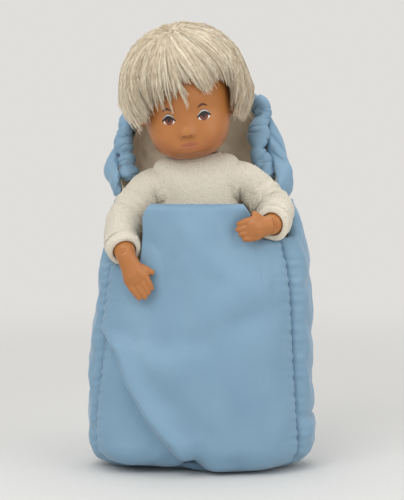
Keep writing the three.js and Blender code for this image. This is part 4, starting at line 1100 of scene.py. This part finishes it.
def make_suit_body():
    """The sleepsuit's body: soft knit over the torso, sloping from the collar to the arms."""
    count, rows = 186, 130
    grids = []
    for depth, top in ((SUIT_EASE + SUIT_CLOTH, SUIT_HIGH), (SUIT_EASE + 0.2, SUIT_HIGH - 0.5)):
        levels = np.linspace(SUIT_LOW, top, rows)
        grids.append(np.array([suit_ring(level, depth, count) for level in levels]))
    outer, inner = grids
    angle = once_round(count)[None, :]
    z = np.linspace(SUIT_LOW, SUIT_HIGH, rows)[:, None]
    fold = ripples(outer[..., 0] * 0.8, z, 34, 83) * 0.22
    fold = fold + ripples(angle * 26, z * 0.5, 12, 82) * 0.2
    fold = fold + np.random.default_rng(84).normal(0, PILE, fold.shape)
    ribs = 0.3 * np.sin(angle * NECK_RIBS) * smooth((z - 9) / 5)
    out = np.stack([np.cos(angle) + 0 * z, np.sin(angle) + 0 * z, 0 * (angle + z)], axis=-1)
    outer = outer + out * (fold * smooth((16 - z) / 10) + ribs)[..., None]
    points, faces = closed_tube(inner, outer)
    made = piece("sleepsuit_body_knit", placed(DOLL, points), faces, TERRY, "doll")
    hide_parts("sleepsuit_body")
    make_collar()


def make_collar():
    """Round neckline band, a single rolled ring of knit."""
    count, around = 120, 24
    angle = once_round(count)[:, None]
    turn = once_round(around)[None, :]
    rib = 1.5 * np.cos(turn) + 0.14 * np.sin(angle * COLLAR_RIBS)
    height = SUIT_HIGH - 0.5 + 1.2 * np.sin(turn) + 0.8 * np.sin(angle)
    points = np.stack([(COLLAR_WIDE + rib) * np.cos(angle),
                       COLLAR_Y + (COLLAR_DEEP + rib) * np.sin(angle), height], axis=-1)
    faces = grid_faces(around, count, True)
    last = (count - 1) * around
    faces += [[last + i, last + (i + 1) % around, (i + 1) % around, i] for i in range(around)]
    made = piece("sleepsuit_neckband", placed(DOLL, points), faces, TERRY, "doll")
    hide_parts("sleepsuit_collar")
    return made


def arm_radius(share):
    """The arm's radius at these shares of its line."""
    return through([[i / 5, r] for i, r in enumerate(ARM_RADII)], share)[:, 0]


def make_sleeve(name):
    """A sleeve: soft folds at elbow and armhole, closed to the cuff by a plain hem."""
    side = SIDES[name]
    frames = rings_along([(side * SLEEVE_START, 0, 0)] + ARM_LINES[name][1:], 300)
    keep = frames[3] <= CUFF_START
    frames = tuple(part[keep] for part in frames)
    share = frames[3]
    radii = arm_radius(share)
    angle = once_round(72)[None, :]
    length = length_of(frames[0])
    along = (share / share[-1] * length)[:, None]
    elbow = bump(along, length * 0.62, 11)
    fold = (0.55 * gathers(along + 2.5 * np.sin(angle + side), 8.5, 91) * elbow
            + 0.5 * ripples(along, angle * 11, 24, 92 + side)
            + 0.25 * ripples(along, angle * 11, 9, 94))
    armhole = 2.2 * bump(along, 0, 7)
    hem = 0.9 * bump(along, length - 1.5, 1.6) - 0.6 * bump(along, length - 4, 1.4)
    fold = fold + np.random.default_rng(95 + side).normal(0, PILE, fold.shape)
    outer = radii[:, None] + SUIT_EASE + SUIT_CLOTH + fold + armhole + hem
    inner = radii[:, None] + SUIT_EASE + 0.1 + 0 * angle
    points, faces = closed_tube(tube_points(frames, inner), tube_points(frames, outer))
    made = piece(f"{name}_sleeve_knit", placed(DOLL, points), faces, TERRY, None)
    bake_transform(made)
    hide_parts(f"{name}_sleeve")
    make_cuff(name)


def make_cuff(name):
    """The turned-back hem of a sleeve, with fine ribs."""
    side = SIDES[name]
    frames = rings_along(ARM_LINES[name], 900)
    share = frames[3]
    length = length_of(frames[0])
    keep = (share >= CUFF_START - 0.004) & (share <= CUFF_START + CUFF_WIDTH / length)
    frames = tuple(part[keep][::2] for part in frames)
    share = frames[3]
    radii = arm_radius(share)
    angle = once_round(96)[None, :]
    along = ((share - share[0]) * length)[:, None]
    edge = np.minimum(along, CUFF_WIDTH - along)
    outer = (radii[:, None] + SUIT_EASE + 0.4 + (SUIT_CLOTH + 0.4) * plump(edge, 1.6, 0.3)
             + 0.14 * np.sin(angle * CUFF_RIBS) + 0.3 * ripples(along * 2, angle * 9, 14, 97 + side))
    inner = radii[:, None] + SUIT_EASE + 0 * angle
    points, faces = closed_tube(tube_points(frames, inner), tube_points(frames, outer))
    made = piece(f"{name}_cuff_knit", placed(DOLL, points), faces, TERRY, f"{name}_arm")
    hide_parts(f"{name}_cuff")
    return made


def make_limbs():
    """Arms and legs of vinyl, the arms' sleeves and the suit's closed legs."""
    for name in SIDES:
        wrist = DOLL @ Vector(ARM_LINES[name][-1])
        softened(f"{name}_arm", f"{name}_arm_vinyl", 0.55, 6, SKIN, f"{name}_arm",
                 wrist)
        softened(f"{name}_leg", f"{name}_leg_vinyl", 1.0, 8, SKIN, f"{name}_leg")
        make_sleeve(name)
        legging = softened(f"{name}_suit_leg", f"{name}_suit_leg_knit", 1.1, 5, TERRY,
                           f"{name}_leg")


# Head: the moulded form, its painted face, and rooted hair

HEAD_MIDDLE = np.array([0, 2, 46.0])
HEAD_WIDE, HEAD_FRONT, HEAD_BACK, HEAD_UP, HEAD_DOWN = 31, 39, 36.5, 42, 39
NECK_CUP = 11.5
EYE_X, EYE_Z = 11.8, 39
NOSE_Z, MOUTH_Z, CHIN_Z = 29.5, 20, 12.5
EAR_X, EAR_Y, EAR_Z = 30.5, 5, 37
EAR_HALF_HIGH = 9.3
# Height of each swelling or hollow of the face, its middle either side, width and height
FACE_FORM = [
    (4.4, 0, NOSE_Z, 3.2, 2.6), (1.3, 0, NOSE_Z + 5, 3, 4), (1.1, 3.4, NOSE_Z - 1, 1.6, 1.8),
    (-2.4, EYE_X - 1, EYE_Z + 0.5, 6.5, 4.5), (1.0, EYE_X, EYE_Z, 4.5, 3.2), (3.0, 15, 21, 8, 7.5),
    (2.0, 0, MOUTH_Z, 5.5, 3), (-1.3, 0, MOUTH_Z - 4.6, 6, 1.6), (4.5, 0, CHIN_Z + 1.3, 10.5, 5.5),
    (1.2, 0, 58, 18, 10),
]
# Finer form that only the moulding shows: nostrils, the groove under the nose, lips
FACE_DETAIL = [
    (-0.8, 2.0, NOSE_Z - 3.0, 0.8, 0.6), (-0.3, 0, 24.6, 0.9, 1.8), (-1.3, 0, NOSE_Z, 3.4, 2.6),
    (0.55, 0, MOUTH_Z + 1.3, 4.6, 0.8), (0.7, 0, MOUTH_Z - 1.6, 4.0, 0.9),
    (-0.85, 0, MOUTH_Z - 0.1, 5.2, 0.45), (0.35, EYE_X, EYE_Z + 4.6, 4.6, 0.7),
    (0.3, EYE_X, EYE_Z - 3.9, 4.0, 0.7),
]


def hill(x, z, x0, z0, wide, high):
    """A smooth swelling of height 1 on the face."""
    return np.exp(-((x - x0) ** 2) / (2 * wide**2) - ((z - z0) ** 2) / (2 * high**2))


def head_radius(direction, detail=False):
    """How far the head's skin lies from its middle, each way."""
    dx, dy, dz = direction[..., 0], direction[..., 1], direction[..., 2]
    front, down = np.maximum(0, -dy), np.maximum(0, -dz)
    power = 2.05 + 0.8 * smooth(front * 1.3) * smooth(down * 1.6)
    reach_y = np.where(dy < 0, HEAD_FRONT, HEAD_BACK)
    reach_z = np.where(dz < 0, HEAD_DOWN, HEAD_UP)
    base = (np.abs(dx / HEAD_WIDE) ** power + np.abs(dy / reach_y) ** power
            + np.abs(dz / reach_z) ** power) ** (-1 / power)
    x, z = np.abs(dx * base), dz * base + HEAD_MIDDLE[2]
    face = smooth(front * 2.2)
    form = FACE_FORM + (FACE_DETAIL if detail else [])
    relief = sum(h * hill(x, z, x0, z0, wide, high) for h, x0, z0, wide, high in form)
    return base + np.where(dy > 0, 0, face * relief)


def direction_at(turn, drop):
    """The direction this far round from the face and down from the top."""
    return np.stack([np.sin(turn) * np.sin(drop), -np.cos(turn) * np.sin(drop),
                     np.cos(drop) + 0 * turn], axis=-1)


def on_head(direction, above):
    """Points this far above the head's skin."""
    return HEAD_MIDDLE + direction * (head_radius(direction) + above)[..., None]


def head_grid(columns, rows):
    """The head's skin as a grid that is finer over the face, with the neck cup cut in."""
    u = once_round(columns)
    turn = u - 0.52 * np.sin(u)
    v = np.linspace(0, 1, rows + 1)[1:-1]
    drop = math.pi * (v - 0.055 * np.sin(2 * math.pi * (v - 0.12)) - 0.0376 * (1 - 2 * v))
    turn, drop = np.meshgrid(turn, drop)
    way = direction_at(turn, drop)
    reach = head_radius(way, detail=True)
    # The neck cup: where the way down meets the round seat before the skin
    middle = HEAD_MIDDLE
    along = -(way @ middle)
    inside = along**2 - (middle @ middle - NECK_CUP**2)
    cup = np.where(inside > 0, along - np.sqrt(np.maximum(inside, 0)), 1e9)
    reach = np.where((cup > 0) & (cup < reach), cup, reach)
    return middle + way * reach[..., None]


def ear(side):
    """A small moulded ear: rolled rim, hollow bowl and lobe, sunk into the side of the head."""
    columns, rows = 40, 22
    u = once_round(columns)[None, :]
    v = np.linspace(0, 1, rows)[:, None]
    outline_y = (6.0 - 0.9 * np.sin(u)) * np.cos(u)
    outline_z = EAR_HALF_HIGH * np.sin(u)
    bulge = np.sin(v * math.pi / 2)
    height = 4.3 * (1 - (1 - v) ** 2) * (1 + 0.1 * np.cos(u))
    spread = np.where(v < 0.62, 1.0, 1 - (np.maximum(0, v - 0.62) / 0.38) ** 1.3)
    bowl = -2.6 * smooth((v - 0.7) / 0.3)
    points = np.stack([side * (height + bowl + 0 * u), outline_y * spread * (0.86 + 0.14 * bulge),
                       outline_z * spread], axis=-1)
    tilt = (Matrix.Translation((side * (EAR_X - 1.6), EAR_Y, EAR_Z))
            @ Matrix.Rotation(side * 0.35, 4, "Z") @ Matrix.Rotation(-0.15, 4, "X"))
    faces = grid_faces(columns, rows, True) + [list(range(columns))]
    faces.append(list(range((rows - 1) * columns, rows * columns)))
    return placed(tilt, points), faces


def face_vinyl():
    """The head's vinyl: the limbs' tan with sprayed blush on cheeks and chin, deepened as painted shade
    over the lower face; painted shade in the nostrils, a painted highlight on the nose's tip and
    sprayed lips, all soft at their edges."""
    made = SKIN.copy()
    made.name = "vinyl_face"
    tree = made.node_tree
    surface = tree.nodes["Principled BSDF"]
    colour = surface.inputs["Base Color"].links[0].from_socket
    place = node(tree, "ShaderNodeTexCoord").outputs["Object"]
    back = HEAD.inverted()
    turned = node(tree, "ShaderNodeMapping", {
        "Vector": place, "Scale": (1 / MM,) * 3,
        "Rotation": back.to_euler(), "Location": back.translation}, vector_type="POINT")
    # colour, strength at the middle, where that is on the head, and how far it reaches each way
    blush_and_shade, nostril_shade = "#a05c32", "#7c4527"
    spots = [
        # blush on the cheeks, made deeper to stand also for painted shade on the lower face
        *[(blush_and_shade, 0.55, (side * 19, -24, 15), (14, 30, 12)) for side in (1, -1)],
        # painted shade over the lower face and under the chin, laid with the blush
        ("#93532a", 0.68, (0, -32, 6), (23, 30, 13)),
        # a painted highlight on the nose's tip
        ("#c48c55", 0.2, (0, -44, 31), (3.0, 14, 3.2)),
        # painted shade in the nostrils
        *[(nostril_shade, 0.9, (x, -40, 27.0), (1.1, 14, 0.7)) for x in (2.3, -2.1)],
        ("#a0593f", 0.85, (0.6, -40, 20.9), (7.6, 14, 1.2)),
        ("#b2694b", 0.8, (0.6, -40, 18.3), (6.4, 14, 1.6)),
        ("#84432d", 0.7, (0.6, -40, 19.9), (7.2, 14, 0.5)),
    ]
    for code, strength, middle, reach in spots:
        centred = node(tree, "ShaderNodeVectorMath", {0: turned.outputs[0], 1: middle},
                       operation="SUBTRACT")
        scaled = node(tree, "ShaderNodeVectorMath", {0: centred.outputs[0], 1: reach},
                      operation="DIVIDE")
        far = node(tree, "ShaderNodeVectorMath", {0: scaled.outputs[0]}, operation="LENGTH")
        fade = node(tree, "ShaderNodeMapRange", {"Value": far.outputs["Value"], "From Min": 0.55,
                                                 "From Max": 1.15, "To Min": strength, "To Max": 0.0},
                    interpolation_type="SMOOTHSTEP")
        colour = node(tree, "ShaderNodeMix", {0: fade.outputs[0], "A": colour, "B": linear(code)},
                      data_type="RGBA").outputs["Result"]
    tree.links.new(colour, surface.inputs["Base Color"])
    return made


def make_head():
    """The head and its ears, one moulding."""
    grid = head_grid(270, 205)
    rows, columns = grid.shape[:2]
    points = [grid.reshape(-1, 3)]
    faces = [f[::-1] for f in grid_faces(columns, rows, True)]
    faces += [list(range(columns)), list(range((rows - 1) * columns, rows * columns))[::-1]]
    for side in (-1, 1):
        start = sum(len(p) for p in points)
        ear_points, ear_faces = ear(side)
        points.append(ear_points)
        faces += [[k + start for k in f] for f in ear_faces]
    made = piece("head_vinyl", placed(HEAD, np.concatenate(points)), faces, face_vinyl(), "head")
    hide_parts("head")
    paint_face(made)


# Hair: locks named by where they end and what they pass, in degrees round the head from the
# face (+ to the doll's left) and down from its top. Strands fill the span between neighbours.
CROWN = (-14, 15)
LOCKS = {
    "left": [
        [(-150, 122, -140, 72), (-120, 116, -116, 72), (-98, 107, -98, 72), (-78, 103, -86, 71),
         (-60, 102, -76, 68), (-46, 103, -66, 65), (-40, 99, -56, 62), (-36, 92, -48, 58),
         (-31, 87, -39, 54)],
    ],
    "fringe": [
        [(-34, 80, -36, 52), (-29, 88, -32, 50), (-26, 76, -29, 48)],
        [(-27, 74, -28, 48), (-23, 88, -25, 47), (-19, 73, -22, 46)],
        [(-21, 72, -22, 46), (-17, 87, -19, 46), (-14, 71, -17, 45)],
        [(-15, 71, -17, 45), (-11, 84, -14, 46), (-8, 70, -12, 45)],
        [(-9, 71, -12, 45), (-5, 87, -9, 46), (-2, 68, -7, 45)],
        [(-2, 66, -6, 46), (1, 77, -4, 50), (3, 64, -4, 46)],
        [(4, 66, -4, 44), (6, 87, -3, 54), (8, 66, -3, 46)],
        [(6, 63, -4, 42), (12, 68, -1, 43), (20, 74, 5, 44), (27, 79, 11, 46), (33, 73, 18, 45),
         (41, 70, 27, 44), (50, 71, 36, 44)],
    ],
    "right": [
        [(48, 71, 36, 43), (57, 77, 48, 46), (61, 88, 58, 50), (56, 98, 64, 56), (56, 107, 72, 62),
         (64, 114, 80, 66), (84, 119, 94, 70), (120, 123, 118, 72), (150, 125, 140, 74)],
    ],
    "back": [
        [(140, 124, 132, 74), (165, 127, 160, 76), (190, 128, 188, 78), (215, 126, 214, 76),
         (228, 124, 228, 74)],
    ],
}
FRINGE_DENSITY = [2.2, 2.0, 1.5, 1.3, 1.1, 0.5, 0.5, 6.5]  # how the fringe's hair is shared out
STRAND_RADIUS = 0.17
LINES_PER_CLUMP, COPIES_PER_LINE = 6, 4
GUIDE_POINTS = 9
HAIR_THICK, HAIR_SIDE_EXTRA = 9.5, 4


def hair_height(turn, drop, share, layer, start):
    """How far a strand lies off the scalp: it lifts from its root and tucks in at its tip."""
    side = np.abs(np.sin(turn)) * smooth(np.sin(drop) * 1.2 - 0.2)
    full = HAIR_THICK + HAIR_SIDE_EXTRA * side
    full = full + 4.0 * smooth((drop - 1.35) / 0.4) * smooth(side * 1.4)
    # flatter at the back, where the head leans on the hood
    full = full * (1 - 0.16 * smooth(-np.cos(turn) * 1.6) * smooth((drop - 0.7) / 0.6))
    lifted = smooth((share - start) / 0.22 + 0.2) ** 0.6
    tuck = 0.62 - 0.18 * smooth(side * 1.3)
    return 0.6 + (full - 0.6) * layer * lifted * (1 - tuck * share**6)


def lock_guides(chunk, clumps, rng, ragged, thinned):
    """Guide lines for one chunk of hair: clumps of lines that close up towards their tips. Clumps
    end raggedly by this many degrees round and down, lines by up to this share of their length."""
    rows = np.array(chunk, float)
    last = len(rows) - 1
    guides = []
    crown = direction_at(*np.radians(CROWN))
    for _ in range(clumps):
        middle = rng.uniform(0, last)
        layer = 1 - 0.75 * rng.uniform() ** 1.6
        start = 0.62 * rng.uniform() ** 1.3 * (1.15 - layer)
        shift = rng.normal(0, 1, 2) * ragged
        sway = rng.normal(0, 1)
        root = rng.normal(0, 0.085, 3)
        for _ in range(LINES_PER_CLUMP):
            off = rng.normal(0, 0.24)
            ends = []
            for spread, columns in ((1.0, (2, 3)), (0.3, (0, 1))):
                at = np.clip(middle + off * spread, 0, last)
                row = [np.interp(at, np.arange(last + 1), rows[:, c]) for c in columns]
                ends.append(row)
            (mid_turn, mid_drop), (tip_turn, tip_drop) = ends
            tip_turn += shift[0] + rng.normal(0, 0.5)
            tip_drop += shift[1] + rng.normal(0, 2.0)
            mid_turn += 1.5 * sway
            # a curve over the scalp: from a at the crown, past b, to c at the tip
            a = crown + root + rng.normal(0, 0.02, 3)
            b = direction_at(*np.radians((mid_turn, mid_drop)))
            c = direction_at(*np.radians((tip_turn, tip_drop)))
            b = 2 * b - (a + c) / 2
            end = 1 - thinned * rng.uniform() ** 1.5
            t = np.linspace(start, max(end, start + 0.2), GUIDE_POINTS)[:, None]
            way = unit((1 - t) ** 2 * a + 2 * t * (1 - t) * b + t**2 * c)
            turn = np.arctan2(way[:, 0], -way[:, 1])
            drop = np.arccos(np.clip(way[:, 2], -1, 1))
            own_layer = np.clip(layer + rng.normal(0, 0.05), 0.1, 1.06)
            guides.append(on_head(way, hair_height(turn, drop, t[:, 0], own_layer, start)))
    return guides


def strand_tree():
    """Copies each guide a few times, spreads the copies and gives every strand its thickness."""
    tree = bpy.data.node_groups.new("strands", "GeometryNodeTree")
    for label, way, kind in (("Guides", "INPUT", "Geometry"), ("Copies", "INPUT", "Int"),
                             ("Spread", "INPUT", "Float"), ("Finish", "INPUT", "Material"),
                             ("Hair", "OUTPUT", "Geometry")):
        tree.interface.new_socket(label, in_out=way, socket_type=f"NodeSocket{kind}")
    given = node(tree, "NodeGroupInput").outputs
    curves = node(tree, "GeometryNodeMeshToCurve", {"Mesh": given["Guides"]})
    smooth_line = node(tree, "GeometryNodeCurveSplineType", {"Curve": curves.outputs[0]},
                       spline_type="CATMULL_ROM")
    even = node(tree, "GeometryNodeResampleCurve", {"Curve": smooth_line.outputs[0], "Count": 7})
    copies = node(tree, "GeometryNodeDuplicateElements", {"Geometry": even.outputs[0],
                                                          "Amount": given["Copies"]}, domain="SPLINE")
    scatter = node(tree, "FunctionNodeRandomValue", {"Min": (-1, -1, -1), "Max": (1, 1, 1), "Seed": 7},
                   data_type="FLOAT_VECTOR")
    scattered = node(tree, "GeometryNodeFieldOnDomain", {"Value": scatter.outputs[0]},
                     data_type="FLOAT_VECTOR", domain="CURVE")
    along = node(tree, "GeometryNodeSplineParameter").outputs["Factor"]
    reach = node(tree, "ShaderNodeMapRange", {"Value": along, "To Min": 1.0, "To Max": 0.35})
    wide = node(tree, "ShaderNodeMath", {0: reach.outputs[0], 1: given["Spread"]}, operation="MULTIPLY")
    offset = node(tree, "ShaderNodeVectorMath", {0: scattered.outputs[0], "Scale": wide.outputs[0]},
                  operation="SCALE")
    moved = node(tree, "GeometryNodeSetPosition", {"Geometry": copies.outputs[0],
                                                   "Offset": offset.outputs[0]})
    taper = node(tree, "ShaderNodeMapRange", {"Value": along, "From Min": 0.7, "From Max": 1.0,
                                              "To Min": STRAND_RADIUS * MM,
                                              "To Max": STRAND_RADIUS * MM * 0.35})
    tone = node(tree, "FunctionNodeRandomValue", {"Seed": 3}, data_type="FLOAT")
    toned = node(tree, "GeometryNodeStoreNamedAttribute", {
        "Geometry": moved.outputs[0], "Name": "strand_tone",
        "Value": next(o for o in tone.outputs if o.type == "VALUE" and o.enabled)},
        data_type="FLOAT", domain="CURVE")
    section = node(tree, "GeometryNodeCurvePrimitiveCircle", {"Resolution": 3, "Radius": 1.0})
    mesh = node(tree, "GeometryNodeCurveToMesh", {"Curve": toned.outputs[0],
                                                  "Profile Curve": section.outputs[0],
                                                  "Scale": taper.outputs[0],
                                                  "Fill Caps": True})
    real = node(tree, "GeometryNodeRealizeInstances", {"Geometry": mesh.outputs[0]})
    finish = node(tree, "GeometryNodeSetMaterial", {"Geometry": real.outputs[0],
                                                    "Material": given["Finish"]})
    node(tree, "NodeGroupOutput", {"Hair": finish.outputs[0]})
    return tree


def hair_cap():
    """The rooted scalp seen between strands: a thin shell that ends where the roots end."""
    around, up = 120, 40
    edge = [(-180, 104), (-120, 104), (-90, 98), (-70, 84), (-50, 66), (-28, 52), (0, 44), (30, 46),
            (50, 56), (70, 84), (90, 98), (120, 104), (180, 104)]
    turn = np.linspace(-math.pi, math.pi, around, endpoint=False)
    limit = np.interp(np.degrees(turn), *zip(*edge))
    turns, share = np.meshgrid(turn, np.linspace(0.02, 1, up))
    drops = np.radians(limit) * share
    ripple = 0.8 * np.cos(turns * 22)
    way = direction_at(turns, drops)
    low = on_head(way, np.full(turns.shape, 0.25))
    high = on_head(way, 0.4 + 3.0 * smooth((1 - share) * 3) * (1 + 0.2 * ripple))
    faces = shell_faces(around, up, True)
    faces += [list(range(around)), list(range(around * up, around * up + around))[::-1]]
    return flat_list(high, low), faces


def make_hair():
    """Rooted hair: a scalp cap and five masses of strands that fall from the crown."""
    fibre = hair_fibre("nylon_hair", "#fcf3de", "#ad8c5c", 0.66)
    # the scalp cap's darker hair colour stands for the roots and for painted shade deep between the
    # strands
    roots = hair_fibre("nylon_hair_roots_and_shade", "#d2bf98", "#a48c64", 0.5)
    points, faces = hair_cap()
    cap = piece("hair_roots", placed(HEAD, points), faces, roots, "head")
    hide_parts("hair")
    tree = strand_tree()
    sockets = {i.name: i.identifier for i in tree.interface.items_tree}
    wisps = [[(a, b + 3, c, d) for a, b, c, d in chunk] for chunk in LOCKS["fringe"]]
    # chunks, clumps, raggedness round and down, share of length lost, spread of the copies
    masses = [
        ("left", LOCKS["left"], 205, (1.6, 2.4), 0.12, 0.95),
        ("fringe", LOCKS["fringe"], 185, (0.9, 1.8), 0.34, 0.8),
        ("wisps", wisps, 34, (2.4, 4.0), 0.2, 1.5),
        ("right", LOCKS["right"], 205, (1.6, 2.4), 0.14, 0.95),
        ("back", LOCKS["back"], 150, (1.6, 2.2), 0.1, 0.95),
    ]
    for seed, (name, chunks, clumps, ragged, thinned, spread) in enumerate(masses):
        rng = np.random.default_rng(100 + seed)
        guides = []
        spans = [FRINGE_DENSITY[i] if chunks is LOCKS["fringe"] else len(chunk) - 1
                 for i, chunk in enumerate(chunks)]
        for chunk, span in zip(chunks, spans):
            wanted = max(3, round(clumps * span / sum(spans)))
            guides += lock_guides(chunk, wanted, rng, ragged, thinned)
        points = placed(HEAD, np.concatenate(guides)) * MM
        edges = [(i, i + 1) for i in range(len(points) - 1) if (i + 1) % GUIDE_POINTS]
        mesh = bpy.data.meshes.new(f"{name}_guides")
        mesh.from_pydata(points.tolist(), edges, [])
        made = in_scene(f"{name}_guides", mesh)
        grown = made.modifiers.new("strands", "NODES")
        grown.node_group = tree
        grown[sockets["Copies"]] = COPIES_PER_LINE
        grown[sockets["Spread"]] = spread * MM
        grown[sockets["Finish"]] = fibre
        strands = evaluated(made)
        strands.name = f"hair_{name}"
        dress(f"hair_{name}", strands, fibre, "head")


def painted(name, face, outline, finish, above):
    """A painted shape: a filled outline in the face's x, z plane laid on the vinyl's skin."""
    middle = np.mean(outline, axis=0)
    rings = [mix(middle, np.array(outline), s) for s in (0.001, 0.34, 0.67, 1.0)]
    flat = np.concatenate(rings)
    tree, matrix = face
    toward = matrix.to_3x3() @ Vector((0, 1, 0))
    points = []
    for x, z in flat:
        start = matrix @ Vector((x, -70, z))
        hit, normal, _, _ = tree.ray_cast(start * MM, toward)
        points.append(np.array(hit) / MM + np.array(normal) * above)
    count = len(outline)
    faces = grid_faces(count, len(rings), True) + [list(range(count))[::-1]]
    return piece(name, points, faces, finish, "head", turn_out=False)


def arc_band(x0, x1, z0, rise, thick, taper=0.35):
    """The outline of a brush stroke that arches from x0 to x1."""
    t = np.linspace(0, 1, 26)
    x = mix(x0, x1, t)
    z = z0 + rise * np.sin(math.pi * t) ** 0.9
    half = thick / 2 * (taper + (1 - taper) * np.sin(math.pi * np.clip(t, 0.02, 0.98)))
    upper = np.stack([x, z + half], axis=1)
    lower = np.stack([x, z - half], axis=1)[::-1]
    return np.concatenate([upper, lower])


def round_patch(x, z, wide, high, cut=None):
    """The outline of an oval, cut off level at a height."""
    t = once_round(40)
    px, pz = x + wide / 2 * np.cos(t), z + high / 2 * np.sin(t)
    if cut is not None:
        pz = np.minimum(pz, cut)
    return np.stack([px, pz], axis=1)


EYE_SHIFT = (0.9, -0.9)  # the painted eyes sit a little off the sockets' middles


def paint_face(head):
    """Painted eyes and brows, one thin coat over the next."""
    graph = bpy.context.evaluated_depsgraph_get()
    face = (BVHTree.FromObject(head, graph), HEAD)
    white = paint("painted_white", "#e8e0d8")
    iris = paint("painted_brown", "#7a3826")
    rim = paint("painted_dark_brown", "#48201a")
    pupil = paint("painted_black", "#1d1014")
    grey = paint("painted_grey", "#7b6f6c")
    brow = paint("painted_brow", "#542a21", 0.4)
    for name, side in SIDES.items():
        x, z = side * EYE_X + EYE_SHIFT[0], EYE_Z + EYE_SHIFT[1]
        coats = [
            ("lid_shade", arc_band(x - 4.1, x + 4.1, z + 1.0, 3.4, 0.3), grey, 0.04),
            ("lid_light", arc_band(x - 4.2, x + 4.1, z + 0.5, 3.2, 0.38), white, 0.07),
            ("eye_white", round_patch(x, z - 1.0, 7.6, 3.4, cut=z + 0.6), white, 0.06),
            ("iris_rim", round_patch(x, z - 0.2, 5.7, 5.6, cut=z + 1.9), rim, 0.09),
            ("iris", round_patch(x, z - 0.5, 5.0, 4.7, cut=z + 1.7), iris, 0.12),
            ("pupil", round_patch(x, z - 0.1, 2.3, 2.5), pupil, 0.15),
            ("lid_line", arc_band(x - 4.6, x + 4.6, z - 0.5, 2.7, 2.0), pupil, 0.18),
        ]
        # each coat lies this much higher than the skin, in millimetres
        for label, outline, finish, above in coats:
            painted(f"{name}_{label}", face, outline, finish, above)
        arch = arc_band(x - 3.6, x + 3.3, z + 6.1, 1.9, 1.6, taper=0.15)
        painted(f"{name}_brow", face, arch, brow, 0.05)


def make_inner_works():
    """Pieces whose CAD shape is right: each takes its own finish."""
    finishes = {
        "torso": SKIN, "neck_hook": WIRE, "arm_elastic": ELASTIC, "neck_to_leg_elastic": ELASTIC,
        "hood_elastic": ELASTIC,
        **{f"{side}_{limb}_hook": WIRE for side in SIDES for limb in ("arm", "leg")},
    }
    for name, finish in finishes.items():
        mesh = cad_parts[name].data
        mesh.materials.clear()
        mesh.materials.append(finish)


def seen_directly(tree):
    """1 for rays from the camera and for what metal and glass show, else 0."""
    path = node(tree, "ShaderNodeLightPath").outputs
    shown = node(tree, "ShaderNodeMath", {0: path["Is Camera Ray"], 1: path["Is Glossy Ray"]},
                 operation="ADD")
    return node(tree, "ShaderNodeMath", {0: shown.outputs[0], 1: path["Is Transmission Ray"]},
                operation="ADD", use_clamp=True).outputs[0]


BACKDROP = "#e0dedb"
FLOOR_REACH, FLOOR_Z = 9000, -0.4  # the paper lies just under the bag
LAMPS_AIM = Vector((0, 0, 150))


def make_floor():
    """A wide floor of pale paper that runs into the backdrop's colour all round."""
    paper, tree, surface, place = shader("studio_paper", 0.9)
    surface.inputs["Base Color"].default_value = linear("#dad9d7")
    away = node(tree, "ShaderNodeVectorMath", {0: place}, operation="LENGTH")
    far = node(tree, "ShaderNodeMapRange", {"Value": away.outputs["Value"], "From Min": 0.25,
                                            "From Max": 0.9}, interpolation_type="SMOOTHSTEP")
    share = node(tree, "ShaderNodeMath", {0: far.outputs[0], 1: seen_directly(tree)},
                 operation="MULTIPLY")
    glow = node(tree, "ShaderNodeEmission", {"Color": linear(BACKDROP), "Strength": 1.0})
    mixed = node(tree, "ShaderNodeMixShader", {0: share.outputs[0], 1: surface.outputs[0],
                                               2: glow.outputs[0]})
    tree.links.new(mixed.outputs[0], tree.nodes["Material Output"].inputs["Surface"])
    corners = [(x * FLOOR_REACH, y * FLOOR_REACH, FLOOR_Z)
               for x, y in ((-1, -1), (1, -1), (1, 1), (-1, 1))]
    mesh = bpy.data.meshes.new("studio_floor")
    mesh.from_pydata((np.array(corners) * MM).tolist(), [], [[0, 1, 2, 3]])
    floor = dress("studio_floor", mesh, paper, None)


def make_world():
    """An even pale light from all round, which the camera sees as the backdrop's colour."""
    world = bpy.data.worlds.new("studio")
    world.use_nodes = True
    bpy.context.scene.world = world
    tree = world.node_tree
    light = tree.nodes["Background"]
    light.inputs["Color"].default_value = linear("#f2f2f0")
    light.inputs["Strength"].default_value = 0.58
    shown = node(tree, "ShaderNodeBackground", {"Color": linear(BACKDROP), "Strength": 1.0})
    mixed = node(tree, "ShaderNodeMixShader", {0: seen_directly(tree), 1: light.outputs[0],
                                               2: shown.outputs[0]})
    tree.links.new(mixed.outputs[0], tree.nodes["World Output"].inputs["Surface"])


def make_lamps():
    """Soft window-like lamps from the left, the right and above."""
    # where each lamp hangs, its size in millimetres and its power in watts
    lamps = [
        ("key", (-500, -900, 900), 900, 7.2),
        ("fill", (800, -700, 600), 900, 3.8),
        ("top", (0, 100, 1200), 1000, 5.0),
    ]
    for name, at, size, power in lamps:
        light = bpy.data.lights.new(name, "AREA")
        light.size, light.energy = size * MM, power
        lamp = in_scene(name, light)
        lamp.location = Vector(at) * MM
        lamp.rotation_euler = (LAMPS_AIM - Vector(at)).to_track_quat("-Z", "Y").to_euler()


make_bag()
make_hood()
make_suit_body()
make_limbs()
make_head()
make_hair()
make_inner_works()
make_floor()
make_world()
make_lamps()
bpy.context.scene.view_settings.view_transform = "Standard"
